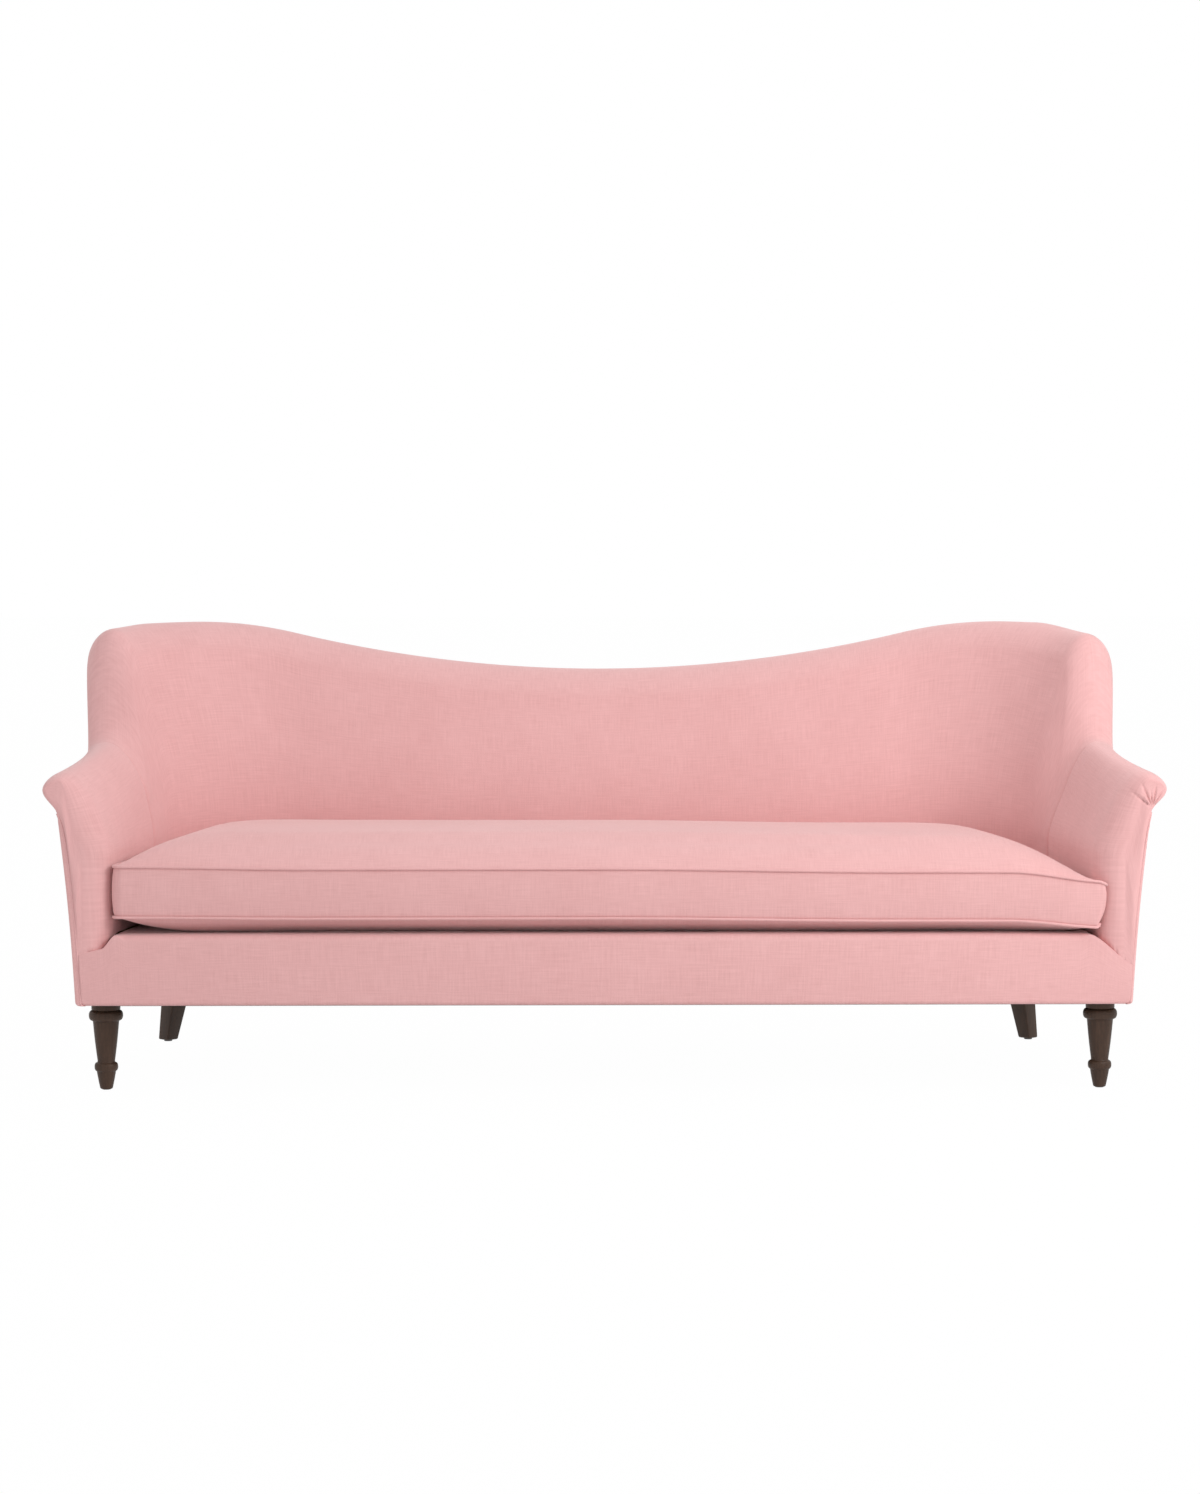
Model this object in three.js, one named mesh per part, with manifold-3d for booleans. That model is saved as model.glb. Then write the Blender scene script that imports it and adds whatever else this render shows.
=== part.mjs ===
// Upholstered three-seat sofa. Its back wraps round at the ends and its top line dips between two humps.
// Millimetres. X runs to the right as seen from the front, Y to the back, Z up from the floor.
import * as THREE from 'three';
import { mergeVertices } from 'three/addons/utils/BufferGeometryUtils.js';
import Module from 'manifold-3d';

const wasm = await Module();
wasm.setup();

// Overall sizes. Depths are counted from the front of the arms.
const width = 2324;
const depth = 875;
const underside = 182;
const fit = 0.3;
const overrun = 20;

// Seat line: where the inside of the arms and the back stand round the seat cushion, in plan
const armSpreadFront = 136;
const seatHalfFront = width / 2 - armSpreadFront;
const seatTaper = 66;
const seatHalfSeam = seatHalfFront - seatTaper;
const armDepth = 350;
const backThickness = 275;
const seatDepth = depth - backThickness;
const seatLineHeight = 487;
const deckHeight = 328;

// Base outline in plan
const baseInset = 75;
const baseHalf = width / 2 - baseInset;
const baseTuck = 72;
const baseBack = depth - baseTuck;
const baseCorner = 240;

// Arm and its roll, at the front and at the seam with the back
const armSpreadSeam = 142;
const rollHalfSeam = seatHalfSeam + armSpreadSeam;
const armRiseFront = 174;
const armHeightFront = seatLineHeight + armRiseFront;
const armRiseSeam = 221;
const armHeightSeam = seatLineHeight + armRiseSeam;
const rollDrop = 33;
const rollReach = 41;
const rollReturnFront = 35;
const rollReturnSeam = 20;
const rollUnder = 44;
const armShoulderDrop = 118;
const armShoulderLean = 15;
const noseDepth = 42;
const noseRound = 30;
const seamDrop = 45;
const panelHollow = 6;
const armTopPower = 1.3;
const armSpreadPower = 0.85;

// Back: top outline in plan, and the top line seen from the front
const wingInset = 46;
const backHalf = width / 2 - wingInset;
const backCorner = 400;
const backLeanSide = 0.22;
const backLeanMiddle = 0.3;
const backBelly = 12;
const backRound = 62;
const lipDrop = 46;
const wingRise = 115;
const valleyHeight = 843;
const valleyRadius = 2900;
const humpHeight = 951;
const humpInset = 191;
const humpHalf = backHalf - humpInset;
const shoulderRadius = 4200;

// Upholstery thicknesses
const insidePad = 30;
const topPad = 24;
const armPanel = 13;
const backPanel = 11;
const panelSeam = 1.5;
const postSeam = 1.5;
const uprightSeam = 1.2;
const borderPad = 18;
const borderTurn = 60;
const borderRound = 16;
const borderStep = 2;
const borderSeamRound = 1.6;
const deckClear = 3;
const coverGauge = 1.2;
const coverInset = 15;
const webSeam = 0.9;

// Frame
const railTop = 275;
const railGauge = 25;
const tackRailHeight = 34;
const tackRailGauge = 20;
const tackRailRise = 16;
const sideRailSet = 1.5;
const cornerBlockLength = 80;
const cornerBlockWidth = 50;
const rearCornerGauge = 78;
const rearCornerGap = 4;
const springRailSet = 139;
const springRailBack = baseBack - springRailSet;
const stretcherHalf = 345;
const stretcherDrop = 26;
const postGauge = 25;
const backPostGauge = 32;
const uprightGauge = 28;
const uprightHalf = 300;
const uprightInset = 38;
const webGauge = 2.5;
const webWidth = 50;
const webCount = 5;
const webInset = 68;

// Springs
const springCount = 8;
const springInset = 237;
const springHalf = baseHalf - springInset;
const springWire = 4;
const springWidth = 52;
const springPitch = 34;
const springEndSet = 12;

// Seat cushion
const cushionGap = 4;
const cushionFront = 5;
const cushionBottomWelt = 362;
const cushionTopWelt = 465;
const cushionCrown = 516;
const cushionCorner = 34;
const cushionBulge = 6;
const weltRadius = 3.2;
const armWeltRadius = 2.6;

// Legs
const frontLegInset = 51;
const frontLegHalf = baseHalf - frontLegInset;
const frontLegSet = 65;
const collarDiameter = 60;
const collarHeight = 16;
const ringDiameter = 71;
const ringHeight = 21;
const shaftTopDiameter = 54;
const shaftEndDiameter = 36;
const lowRingDiameter = 49;
const lowRingHeight = 17;
const lowRingTop = 57;
const turnedEase = 2;
const footTopDiameter = 39.5;
const footEndDiameter = 27;
const rearLegInset = 143;
const rearLegHalf = baseHalf - rearLegInset;
const rearLegTuck = 60;
const rearLegSet = baseBack - rearLegTuck;
const rearLegSplay = 32;
const rearLegTop = 54;
const rearLegEnd = 32;
const glideHeight = 3;
const frontGlideDiameter = 18;
const rearGlideDiameter = 18;
const boltDiameter = 8;
const boltInFrame = 50;
const boltClearance = 0.5;

const mix = THREE.MathUtils.lerp;
const smooth = (share) => THREE.MathUtils.smoothstep(share, 0, 1);

const fabricColour = '#e3a3a2';
const liningColour = '#2b2a2a';
const timberColour = '#c9a878';
const legColour = '#493a31';
const steelColour = '#8d9094';
const juteColour = '#b59a6b';

const sofa = new THREE.Group();

// Adds one named piece to the sofa.
function piece(name, geometry, colour, roughness = 0.9, metalness = 0) {
  const material = new THREE.MeshStandardMaterial({ color: colour, roughness, metalness });
  const mesh = new THREE.Mesh(geometry, material);
  mesh.name = name;
  sofa.add(mesh);
  return mesh;
}

// Six times the signed volume that the triangles enclose.
function enclosed(points, index) {
  let sum = 0;
  for (let i = 0; i < index.length; i += 3) {
    const [a, b, c] = [points[index[i]], points[index[i + 1]], points[index[i + 2]]];
    sum += a.dot(new THREE.Vector3().crossVectors(b, c));
  }
  return sum;
}

// Closed geometry from shared points and triangles, with its faces turned outwards.
function body(points, index) {
  if (enclosed(points, index) < 0) {
    for (let i = 0; i < index.length; i += 3) {
      [index[i + 1], index[i + 2]] = [index[i + 2], index[i + 1]];
    }
  }
  const geometry = new THREE.BufferGeometry().setFromPoints(points);
  geometry.setIndex(index);
  return geometry;
}

// Solid through a row of rings. A ring holds its flat outline and the points of that outline in space.
function loft(rings, closed = false) {
  const count = rings[0].points.length;
  const points = rings.flatMap((ring) => ring.points);
  const index = [];
  const spans = closed ? rings.length : rings.length - 1;
  for (let i = 0; i < spans; i += 1) {
    const here = i * count;
    const there = ((i + 1) % rings.length) * count;
    for (let j = 0; j < count; j += 1) {
      const next = (j + 1) % count;
      index.push(here + j, here + next, there + next);
      index.push(here + j, there + next, there + j);
    }
  }
  if (!closed) {
    const last = (rings.length - 1) * count;
    const turn = THREE.ShapeUtils.isClockWise(rings[0].outline) ? 1 : -1;
    for (const [a, b, c] of THREE.ShapeUtils.triangulateShape(rings[0].outline, [])) {
      if (turn > 0) index.push(a, b, c);
      else index.push(a, c, b);
    }
    for (const [a, b, c] of THREE.ShapeUtils.triangulateShape(rings.at(-1).outline, [])) {
      if (turn > 0) index.push(last + a, last + c, last + b);
      else index.push(last + a, last + b, last + c);
    }
  }
  return body(points, index);
}

// A ring from a flat outline and the place of each of its points.
function ringOf(outline, place) {
  return { outline, points: outline.map(place) };
}

// The same rings on the sofa's left side.
function mirrored(rings) {
  return rings.map((ring) => ({
    outline: ring.outline,
    points: ring.points.map((p) => new THREE.Vector3(-p.x, p.y, p.z)),
  }));
}

// A closed geometry as a solid for a cut.
function solidOf(geometry) {
  const bare = geometry.index ? geometry.clone() : mergeVertices(geometry.clone());
  bare.deleteAttribute('normal');
  bare.deleteAttribute('uv');
  const merged = mergeVertices(bare, 1e-4);
  return new wasm.Manifold(new wasm.Mesh({
    numProp: 3,
    vertProperties: merged.attributes.position.array,
    triVerts: new Uint32Array(merged.index.array),
  }));
}

// What is left of a geometry after the others are cut away.
function cut(geometry, ...tools) {
  let solid = solidOf(geometry);
  for (const tool of tools) solid = solid.subtract(solidOf(tool));
  return geometryOf(solid);
}

// Two geometries as one.
function join(geometry, other) {
  return geometryOf(solidOf(geometry).add(solidOf(other)));
}

// A solid's triangles.
function geometryOf(solid) {
  const mesh = solid.getMesh();
  const result = new THREE.BufferGeometry();
  result.setAttribute('position', new THREE.BufferAttribute(new Float32Array(mesh.vertProperties), 3));
  result.setIndex(new THREE.BufferAttribute(new Uint32Array(mesh.triVerts), 1));
  return result;
}

// A block between two corners.
function block(x0, x1, y0, y1, z0, z1) {
  const geometry = new THREE.BoxGeometry(x1 - x0, y1 - y0, z1 - z0);
  return geometry.translate((x0 + x1) / 2, (y0 + y1) / 2, (z0 + z1) / 2);
}

// A bezier stretch, without its first point.
function bend(from, first, second, to, steps) {
  const curve = new THREE.CubicBezierCurve(from, first, second, to);
  return curve.getPoints(steps).slice(1);
}

const flat = (u, v) => new THREE.Vector2(u, v);

// Plan of the seat line: a tapering side, a corner arc and a straight back.
const sideTaper = Math.atan((seatHalfFront - seatHalfSeam) / armDepth);
const seatCorner = (seatDepth - armDepth) / (1 - Math.sin(sideTaper));
const seatCornerX = seatHalfSeam - seatCorner * Math.cos(sideTaper);
const seatCornerY = seatDepth - seatCorner;

// Signed distance from a plan outline with rounded rear corners.
function outside(x, y, half, back, corner) {
  const u = Math.abs(x) - (half - corner);
  const v = y - (back - corner);
  return Math.hypot(Math.max(u, 0), Math.max(v, 0)) + Math.min(Math.max(u, v), 0) - corner;
}

// Distance from a point to the outline along a direction, found by halving.
const halvings = 26;
function reach(x, y, along, half, back, corner) {
  let near = 0;
  let far = width;
  for (let i = 0; i < halvings; i += 1) {
    const middle = (near + far) / 2;
    if (outside(x + along.x * middle, y + along.y * middle, half, back, corner) < 0) near = middle;
    else far = middle;
  }
  return near;
}

// Height of the back's top line at a distance from the middle.
function topLine(x) {
  const away = Math.abs(x);
  const rise = humpHeight - valleyHeight;
  const turn = (2 * rise * valleyRadius) / humpHalf;
  const humpRadius = (humpHalf * humpHalf) / (2 * rise) - valleyRadius;
  if (away < turn) return valleyHeight + (away * away) / (2 * valleyRadius);
  if (away < humpHalf) return humpHeight - (humpHalf - away) ** 2 / (2 * humpRadius);
  return humpHeight - (away - humpHalf) ** 2 / (2 * shoulderRadius);
}

// Section points of an arm, at a depth. They are counted outwards from the seat line, and up.
function armSection(y) {
  const share = THREE.MathUtils.clamp(y / armDepth, 0, 1);
  const seat = mix(seatHalfFront, seatHalfSeam, share);
  const tip = mix(width / 2, rollHalfSeam, smooth(share ** armSpreadPower)) - seat;
  const top = mix(armHeightFront, armHeightSeam, share ** armTopPower);
  const rounding = Math.max(0, 1 - y / noseDepth);
  const inset = noseRound * (1 - Math.sqrt(1 - rounding * rounding));
  const back = mix(rollReturnFront, rollReturnSeam, share);
  const under = top - rollDrop - rollUnder;
  return {
    seat: flat(inset, seatLineHeight),
    shoulder: flat(armShoulderLean + inset, top - armShoulderDrop),
    ridge: flat(tip - rollReach, top - inset * 0.4),
    tip: flat(tip - inset * 0.3, top - rollDrop),
    under: flat(tip - back, under),
    base: flat(baseHalf - seat, underside),
    hollow: panelHollow * (1 - share),
  };
}

// Section points of the back alone, at a station.
function backSection(station) {
  const { x, y, along, turnShare } = station;
  const tip = reach(x, y, along, backHalf, depth, backCorner);
  const base = reach(x, y, along, baseHalf, baseBack, baseCorner);
  const ridgeX = x + along.x * (tip - backRound);
  const top = topLine(ridgeX);
  const lean = mix(backLeanSide, backLeanMiddle, turnShare);
  const shoulderHeight = top - backRound;
  const shoulder = Math.min(lean * (shoulderHeight - seatLineHeight), tip - 2 * insidePad);
  const slope = (tip - base) / (shoulderHeight - underside);
  return {
    seat: flat(0, seatLineHeight),
    shoulder: flat(shoulder, shoulderHeight),
    ridge: flat(mix(shoulder, tip, 0.5), top),
    tip: flat(tip, shoulderHeight),
    under: flat(tip - slope * lipDrop, shoulderHeight - lipDrop),
    base: flat(base, underside),
    hollow: 0,
  };
}

// The section at a station of the back: the arm's own at the seam, and the back's where the wing has risen.
function sectionAt(station) {
  const back = backSection(station);
  const share = smooth(station.run / wingRise);
  if (share === 1) return back;
  const arm = armSection(armDepth);
  for (const key of ['ridge', 'tip', 'under']) {
    arm[key].x = (armSeat(armDepth) + arm[key].x - station.x) / station.along.x;
  }
  const blended = { base: back.base, hollow: 0 };
  for (const key of ['seat', 'shoulder', 'ridge', 'tip', 'under']) {
    blended[key] = arm[key].clone().lerp(back[key], share);
  }
  return blended;
}

// Points of a section's skin, from its foot over the top to the underside of the roll. A depth moves it inwards.
// The skin leans at the shoulder by a share more than the straight line from the seat, so that it bends evenly.
const shoulderLeanShare = 1.3;
const bellyRise = valleyHeight - backRound - seatLineHeight;
function skin(section, deep = 0, clear = 0, foot = deckHeight + fit) {
  const inward = deep + clear;
  const down = (deep * topPad) / insidePad + clear;
  const seat = flat(section.seat.x + inward, section.seat.y);
  const shoulder = flat(section.shoulder.x + inward, section.shoulder.y);
  const ridge = flat(section.ridge.x, section.ridge.y - down);
  const tip = flat(section.tip.x - down, section.tip.y);
  const under = flat(section.under.x - down, section.under.y);
  const height = ridge.y - shoulder.y;
  const reachOver = ridge.x - shoulder.x;
  const rise = shoulder.y - seat.y;
  const belly = deep > 0 ? 0 : (backBelly * rise) / bellyRise;
  const slope = (shoulderLeanShare * (shoulder.x - seat.x)) / rise;
  const outer = tip.x - ridge.x;
  const drop = ridge.y - tip.y;
  return [
    flat(seat.x, foot),
    seat,
    ...bend(
      seat,
      flat(seat.x - belly * 0.3, seat.y + rise * 0.33),
      flat(shoulder.x - slope * rise * 0.34, seat.y + rise * 0.66),
      shoulder,
      4,
    ),
    ...bend(
      shoulder,
      flat(shoulder.x + slope * height * 0.45, shoulder.y + height * 0.45),
      flat(ridge.x - reachOver * 0.42, ridge.y),
      ridge,
      5,
    ),
    ...bend(
      ridge,
      flat(ridge.x + outer * 0.5, ridge.y),
      flat(tip.x, tip.y + drop * 0.5),
      tip,
      4,
    ),
    ...bend(
      tip,
      flat(tip.x, mix(tip.y, under.y, 0.4)),
      flat(mix(under.x, tip.x, 0.1), mix(under.y, tip.y, 0.25)),
      under,
      3,
    ),
  ];
}

// Distance of the outer face from the seat line, at a height below the roll. An arm's face is slightly hollow,
// most of all at half its height.
const halfHeight = (section) => mix(underside, section.under.y, 0.5);
function outerFace(section, height) {
  const share = (height - underside) / (section.under.y - underside);
  return mix(section.base.x, section.under.x, share) - section.hollow * (1 - Math.abs(2 * share - 1));
}

// Seat line's place at a depth of the arm.
function armSeat(y) {
  return mix(seatHalfFront, seatHalfSeam, y / armDepth);
}

// A ring across the right arm.
function armRing(y, outline) {
  const seat = armSeat(y);
  return ringOf(outline, (p) => new THREE.Vector3(seat + p.x, y, p.y));
}

// Depths of the rings of an arm: its rounded front, the back of its post, and the run to the seam
const noseShares = [0, 0.12, 0.4, 1];
const armShares = [0.3, 0.48, 0.66, 0.84, 1];
const postFront = noseDepth + fit;
const postBack = postFront + postGauge;
const railFront = postBack + fit;
const bodyDepths = [railFront, ...armShares.map((share) => share * armDepth)];
const armDepths = [...noseShares.map((share) => share * noseDepth), ...bodyDepths];

// Height of the seam between the arm and the front border, which falls towards the outside.
function seamHeight(x) {
  const inner = seatHalfFront - borderRound;
  const share = THREE.MathUtils.clamp((Math.abs(x) - inner) / (baseHalf - inner), 0, 1);
  return deckHeight - seamDrop * share;
}

// Distance from the sofa's middle at which the front ends inside the arm's outer panel, and the seam's height there.
const panelLine = (y, height) => armSeat(y) + outerFace(armSection(y), height) - armPanel - fit;
const seamEnd = (y) => seamHeight(panelLine(y, deckHeight - seamDrop));

// The arm's whole form without its outer panel.
function armForm() {
  return loft(armDepths.map((y) => {
    const section = armSection(y);
    const top = skin(section);
    const under = top.at(-1);
    const low = seamEnd(y) + fit;
    const middle = halfHeight(section);
    top[0] = flat(top[0].x, seamHeight(armSeat(y) + top[0].x) + fit);
    top.push(flat(under.x - armPanel - fit, under.y));
    top.push(flat(outerFace(section, middle) - armPanel - fit, middle));
    top.push(flat(outerFace(section, low) - armPanel - fit, low));
    return armRing(y, top);
  }));
}

// The space inside an arm that the frame stands in. It opens downwards, backwards and to the outer panel.
function armHollow() {
  const depths = [noseDepth, ...bodyDepths, armDepth + overrun];
  return loft(depths.map((y) => {
    const section = armSection(y);
    const inner = skin(section, insidePad, 0, railTop - overrun);
    const under = inner.at(-1);
    const beyond = section.under.x + overrun;
    inner.push(flat(beyond, under.y), flat(beyond, railTop - overrun));
    return armRing(y, inner);
  }));
}

function armPads() {
  const right = cut(armForm(), armHollow());
  piece('arm_right', right, fabricColour);
  piece('arm_left', cut(loftLeft(armForm), loftLeft(armHollow)), fabricColour);
}

// The left-hand copy of a right-hand form.
function loftLeft(form) {
  const geometry = form().clone().scale(-1, 1, 1);
  const index = Array.from(geometry.index.array);
  for (let i = 0; i < index.length; i += 3) [index[i + 1], index[i + 2]] = [index[i + 2], index[i + 1]];
  geometry.setIndex(index);
  return geometry;
}

// Adds a piece and its mirror image.
function pair(name, form, colour, roughness, metalness) {
  piece(`${name}_right`, form(), colour, roughness, metalness);
  piece(`${name}_left`, loftLeft(form), colour, roughness, metalness);
}

// Outer panel of an arm, under the roll. Its front edge is eased by a share of its thickness.
const panelEaseShare = 0.35;
function outerArm() {
  const front = armWeltRadius * 2 + fit;
  const depths = [front, front * 2, noseDepth, ...bodyDepths];
  return loft(depths.map((y, i) => {
    const section = armSection(y);
    const top = section.under.y - fit;
    const middle = halfHeight(section);
    const low = section.base.x;
    const ease = i === 0 ? armPanel * panelEaseShare : 0;
    return armRing(y, [
      flat(low - armPanel, underside),
      flat(low - ease, underside),
      flat(outerFace(section, middle) - ease, middle),
      flat(section.under.x - ease, top),
      flat(section.under.x - armPanel, top),
      flat(outerFace(section, middle) - armPanel, middle),
    ]);
  }));
}

// Round cord along a row of points, closed on itself or with flat ends.
function cord(path, radius, sides, closed) {
  const count = path.length;
  const up = new THREE.Vector3(0, 0, 1);
  const rings = path.map((point, i) => {
    const before = closed ? path[(i + count - 1) % count] : path[Math.max(i - 1, 0)];
    const after = closed ? path[(i + 1) % count] : path[Math.min(i + 1, count - 1)];
    const along = new THREE.Vector3().subVectors(after, before).normalize();
    const steep = Math.abs(along.z) > 0.9;
    const side = new THREE.Vector3().crossVectors(along, steep ? new THREE.Vector3(1, 0, 0) : up).normalize();
    const rise = new THREE.Vector3().crossVectors(side, along);
    const outline = [];
    for (let k = 0; k < sides; k += 1) {
      const angle = (2 * Math.PI * k) / sides;
      outline.push(flat(radius * Math.cos(angle), radius * Math.sin(angle)));
    }
    return ringOf(outline, (p) => point.clone().addScaledVector(side, p.x).addScaledVector(rise, p.y));
  });
  return loft(rings, closed);
}

// Seam welt down the front of an arm, between its pad and its outer panel.
function armWelt() {
  const section = armSection(0);
  const top = section.under.y - armWeltRadius;
  const steps = 6;
  const path = [];
  for (let i = 0; i <= steps; i += 1) {
    const z = mix(underside + armWeltRadius, top, i / steps);
    const x = armSeat(0) + outerFace(section, z) - armPanel + armWeltRadius;
    path.push(new THREE.Vector3(x, armWeltRadius, z));
  }
  return cord(path, armWeltRadius, 8, false);
}

// Stations of the back, from the seam of the right arm to the middle.
const cornerSteps = 12;
const middleShares = [0.9, 0.75, 0.6, 0.4, 0.2, 0];
function stationAt(turnShare) {
  const angle = mix(sideTaper, Math.PI / 2, turnShare);
  const facing = (turnShare * Math.PI) / 2;
  return {
    x: seatCornerX + seatCorner * Math.cos(angle),
    y: seatCornerY + seatCorner * Math.sin(angle),
    along: flat(Math.cos(facing), Math.sin(facing)),
    turnShare,
    run: seatCorner * (angle - sideTaper),
  };
}

function straightStation(x) {
  return { x, y: seatDepth, along: flat(0, 1), turnShare: 1, run: wingRise };
}

// All stations on the right half. The first can be set back from the seam.
function stations(firstShare = 0) {
  const row = [];
  for (let i = 0; i <= cornerSteps; i += 1) {
    const share = i / cornerSteps;
    if (share > firstShare) row.push(stationAt(share));
  }
  row.unshift(stationAt(firstShare));
  for (const share of middleShares) row.push(straightStation(seatCornerX * share));
  return row;
}

const seamGap = (station) => (station.run > 0 ? 0 : fit);

// A ring of the back at a station. The first one stands clear of the arm.
function backRing(station, outline) {
  const set = seamGap(station);
  return ringOf(outline, (p) => new THREE.Vector3(
    station.x + station.along.x * p.x,
    station.y + station.along.y * p.x + set,
    p.y,
  ));
}

// A solid that runs round the whole back, with the same outline rule on both halves.
function roundBack(outlineAt, firstShare = 0) {
  const right = stations(firstShare).map((station) => backRing(station, outlineAt(station)));
  const left = mirrored(right.slice(0, -1)).reverse();
  return loft([...right, ...left]);
}

function insideBack() {
  return roundBack((station) => {
    const section = sectionAt(station);
    const outer = skin(section);
    const inner = skin(section, insidePad);
    return [...outer, ...inner.reverse()];
  });
}

function outsideBack() {
  return roundBack((station) => {
    const section = sectionAt(station);
    const top = section.under.y - panelSeam;
    const middle = halfHeight(section);
    return [
      flat(section.base.x - backPanel, underside),
      flat(section.base.x, underside),
      flat(outerFace(section, middle), middle),
      flat(section.under.x, top),
      flat(section.under.x - backPanel, top),
      flat(outerFace(section, middle) - backPanel, middle),
    ];
  });
}

// Frame outline in a section: from the pad's inner side to the outer panel, between two heights.
function frameOutline(section, low, panel, clear) {
  const inner = skin(section, insidePad, clear, low);
  for (const height of [section.under.y, halfHeight(section), low]) {
    inner.push(flat(outerFace(section, height) - panel - clear, height));
  }
  return inner;
}

// The part of a section's inner curve that a top rail fills, closed by a flat underside.
function topRailOutline(section, clear) {
  const inner = skin(section, insidePad, clear);
  const from = 8;
  return inner.slice(from, inner.length - 1);
}

function armPost() {
  return loft([postFront, postBack].map((y) => armRing(y, frameOutline(armSection(y), railTop + fit, armPanel, fit * 2))));
}

function armTopRail() {
  return loft(bodyDepths.map((y) => armRing(y, topRailOutline(armSection(y), fit * 2))));
}

// Rail that the covers are tacked to, just above the deck.
function tackOutline(section, clear) {
  const near = section.seat.x + insidePad + clear;
  const low = deckHeight + tackRailRise;
  return [
    flat(near, low),
    flat(near + tackRailGauge, low),
    flat(near + tackRailGauge, low + tackRailHeight),
    flat(near, low + tackRailHeight),
  ];
}

function armTackRail() {
  return loft([railFront, armDepth].map((y) => armRing(y, tackOutline(armSection(armDepth), fit * 2))));
}

// Share of the corner's turn at which the back post ends.
const postShare = backPostGauge / (seatCorner * (Math.PI / 2 - sideTaper));

function backPost() {
  const row = [stationAt(0), stationAt(postShare)];
  return loft(row.map((station) => {
    const outline = frameOutline(sectionAt(station), railTop + fit, backPanel, postSeam);
    return backRing(station, outline);
  }));
}

const railShare = postShare * 1.02;

function backTopRail() {
  return roundBack((station) => topRailOutline(sectionAt(station), webSeam + webGauge), railShare);
}

function backTackRail() {
  return roundBack((station) => tackOutline(sectionAt(station), webSeam + webGauge), railShare);
}

// Front border: a padded cover on the face of the front rail, turned over its top as far as the deck.
const deckBase = railTop + springWire + fit * 3;
function frontBorder() {
  const end = (height) => panelLine(noseDepth, height);
  const inner = seatHalfFront - borderRound;
  const outer = inner + borderStep;
  const places = [-end(underside), -outer, -inner, -inner / 2, 0, inner / 2, inner, outer, end(underside)];
  return loft(places.map((x) => {
    const isEnd = Math.abs(x) > outer;
    const under = Math.abs(x) > inner;
    const top = isEnd ? seamEnd(noseDepth) : seamHeight(x);
    const round = under ? borderSeamRound : borderRound;
    const turn = under ? noseDepth : borderTurn;
    const edge = new THREE.CubicBezierCurve(
      flat(0, top - round),
      flat(0, top - round * 0.45),
      flat(round * 0.45, top),
      flat(round, top),
    ).getPoints(4);
    const outline = [
      flat(0, underside),
      ...edge,
      flat(turn, top),
      flat(turn, deckBase),
      flat(borderPad, deckBase),
      flat(borderPad, underside),
    ];
    const across = (height) => (isEnd ? Math.sign(x) * end(height) : x);
    return ringOf(outline, (p) => new THREE.Vector3(across(p.y), p.x, p.y));
  }));
}

// Plan outline inside the seat line, counter-clockwise from the front left.
function seatPlan(clear, front, corner, steps) {
  const half = (y) => armSeat(y) - clear;
  const right = [];
  for (let i = 0; i <= 4; i += 1) {
    const angle = (i / 4) * (Math.PI / 2);
    const y = front + corner * (1 - Math.cos(angle));
    right.push(flat(half(y) - corner * (1 - Math.sin(angle)), y));
  }
  for (const share of [0.45, 0.75]) right.push(flat(half(armDepth * share), armDepth * share));
  for (let i = 0; i <= steps; i += 1) {
    const angle = mix(sideTaper, Math.PI / 2, i / steps);
    const radius = seatCorner - clear;
    right.push(flat(seatCornerX + radius * Math.cos(angle), seatCornerY + radius * Math.sin(angle)));
  }
  for (const share of [0.66, 0.33]) right.push(flat(seatCornerX * share, seatDepth - clear));
  const left = right.map((p) => flat(-p.x, p.y)).reverse();
  const frontRow = [-0.5, 0, 0.5].map((share) => flat(half(front) * share, front));
  return [...right, flat(0, seatDepth - clear), ...left, ...frontRow];
}

function deckPad() {
  const outline = seatPlan(deckClear, borderTurn + fit, fit, cornerSteps / 2);
  return loft([deckBase, deckHeight].map((z) => ringOf(outline, (p) => new THREE.Vector3(p.x, p.y, z))));
}

// A ring of the cushion: its plan moved in from the widest line, then drawn in by a share about its middle.
const cushionMiddle = (cushionFront + seatDepth) / 2;
function cushionRing(height, inset, share = 1) {
  const plan = seatPlan(cushionGap + inset, cushionFront + inset, cushionCorner - inset, cornerSteps - 4);
  const drawn = plan.map((p) => flat(p.x * share, mix(cushionMiddle, p.y, share)));
  return ringOf(drawn, (p) => new THREE.Vector3(p.x, p.y, height));
}

// Crowned bench cushion: domed top and bottom, and side walls drawn in at the welts.
function seatCushion() {
  const drawnShares = [0.35, 0.7, 0.88, 0.965];
  const dome = (share) => 1 - share ** 5;
  const bottom = deckHeight + fit;
  const wall = cushionTopWelt - cushionBottomWelt;
  const domed = (height, peak) => (share) => cushionRing(mix(height, peak, dome(share)), cushionBulge, share);
  return loft([
    ...drawnShares.map(domed(cushionBottomWelt, bottom)),
    cushionRing(cushionBottomWelt, cushionBulge),
    cushionRing(cushionBottomWelt + wall * 0.22, cushionBulge * 0.3),
    cushionRing(cushionBottomWelt + wall * 0.5, 0),
    cushionRing(cushionTopWelt - wall * 0.22, cushionBulge * 0.3),
    cushionRing(cushionTopWelt, cushionBulge),
    ...drawnShares.reverse().map(domed(cushionTopWelt, cushionCrown)),
  ]);
}

// Welt round the cushion, just outside its seam.
function cushionWelt(height) {
  const path = cushionRing(height, cushionBulge - weltRadius - fit * 2).points;
  return cord(path, weltRadius, 6, true);
}

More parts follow.
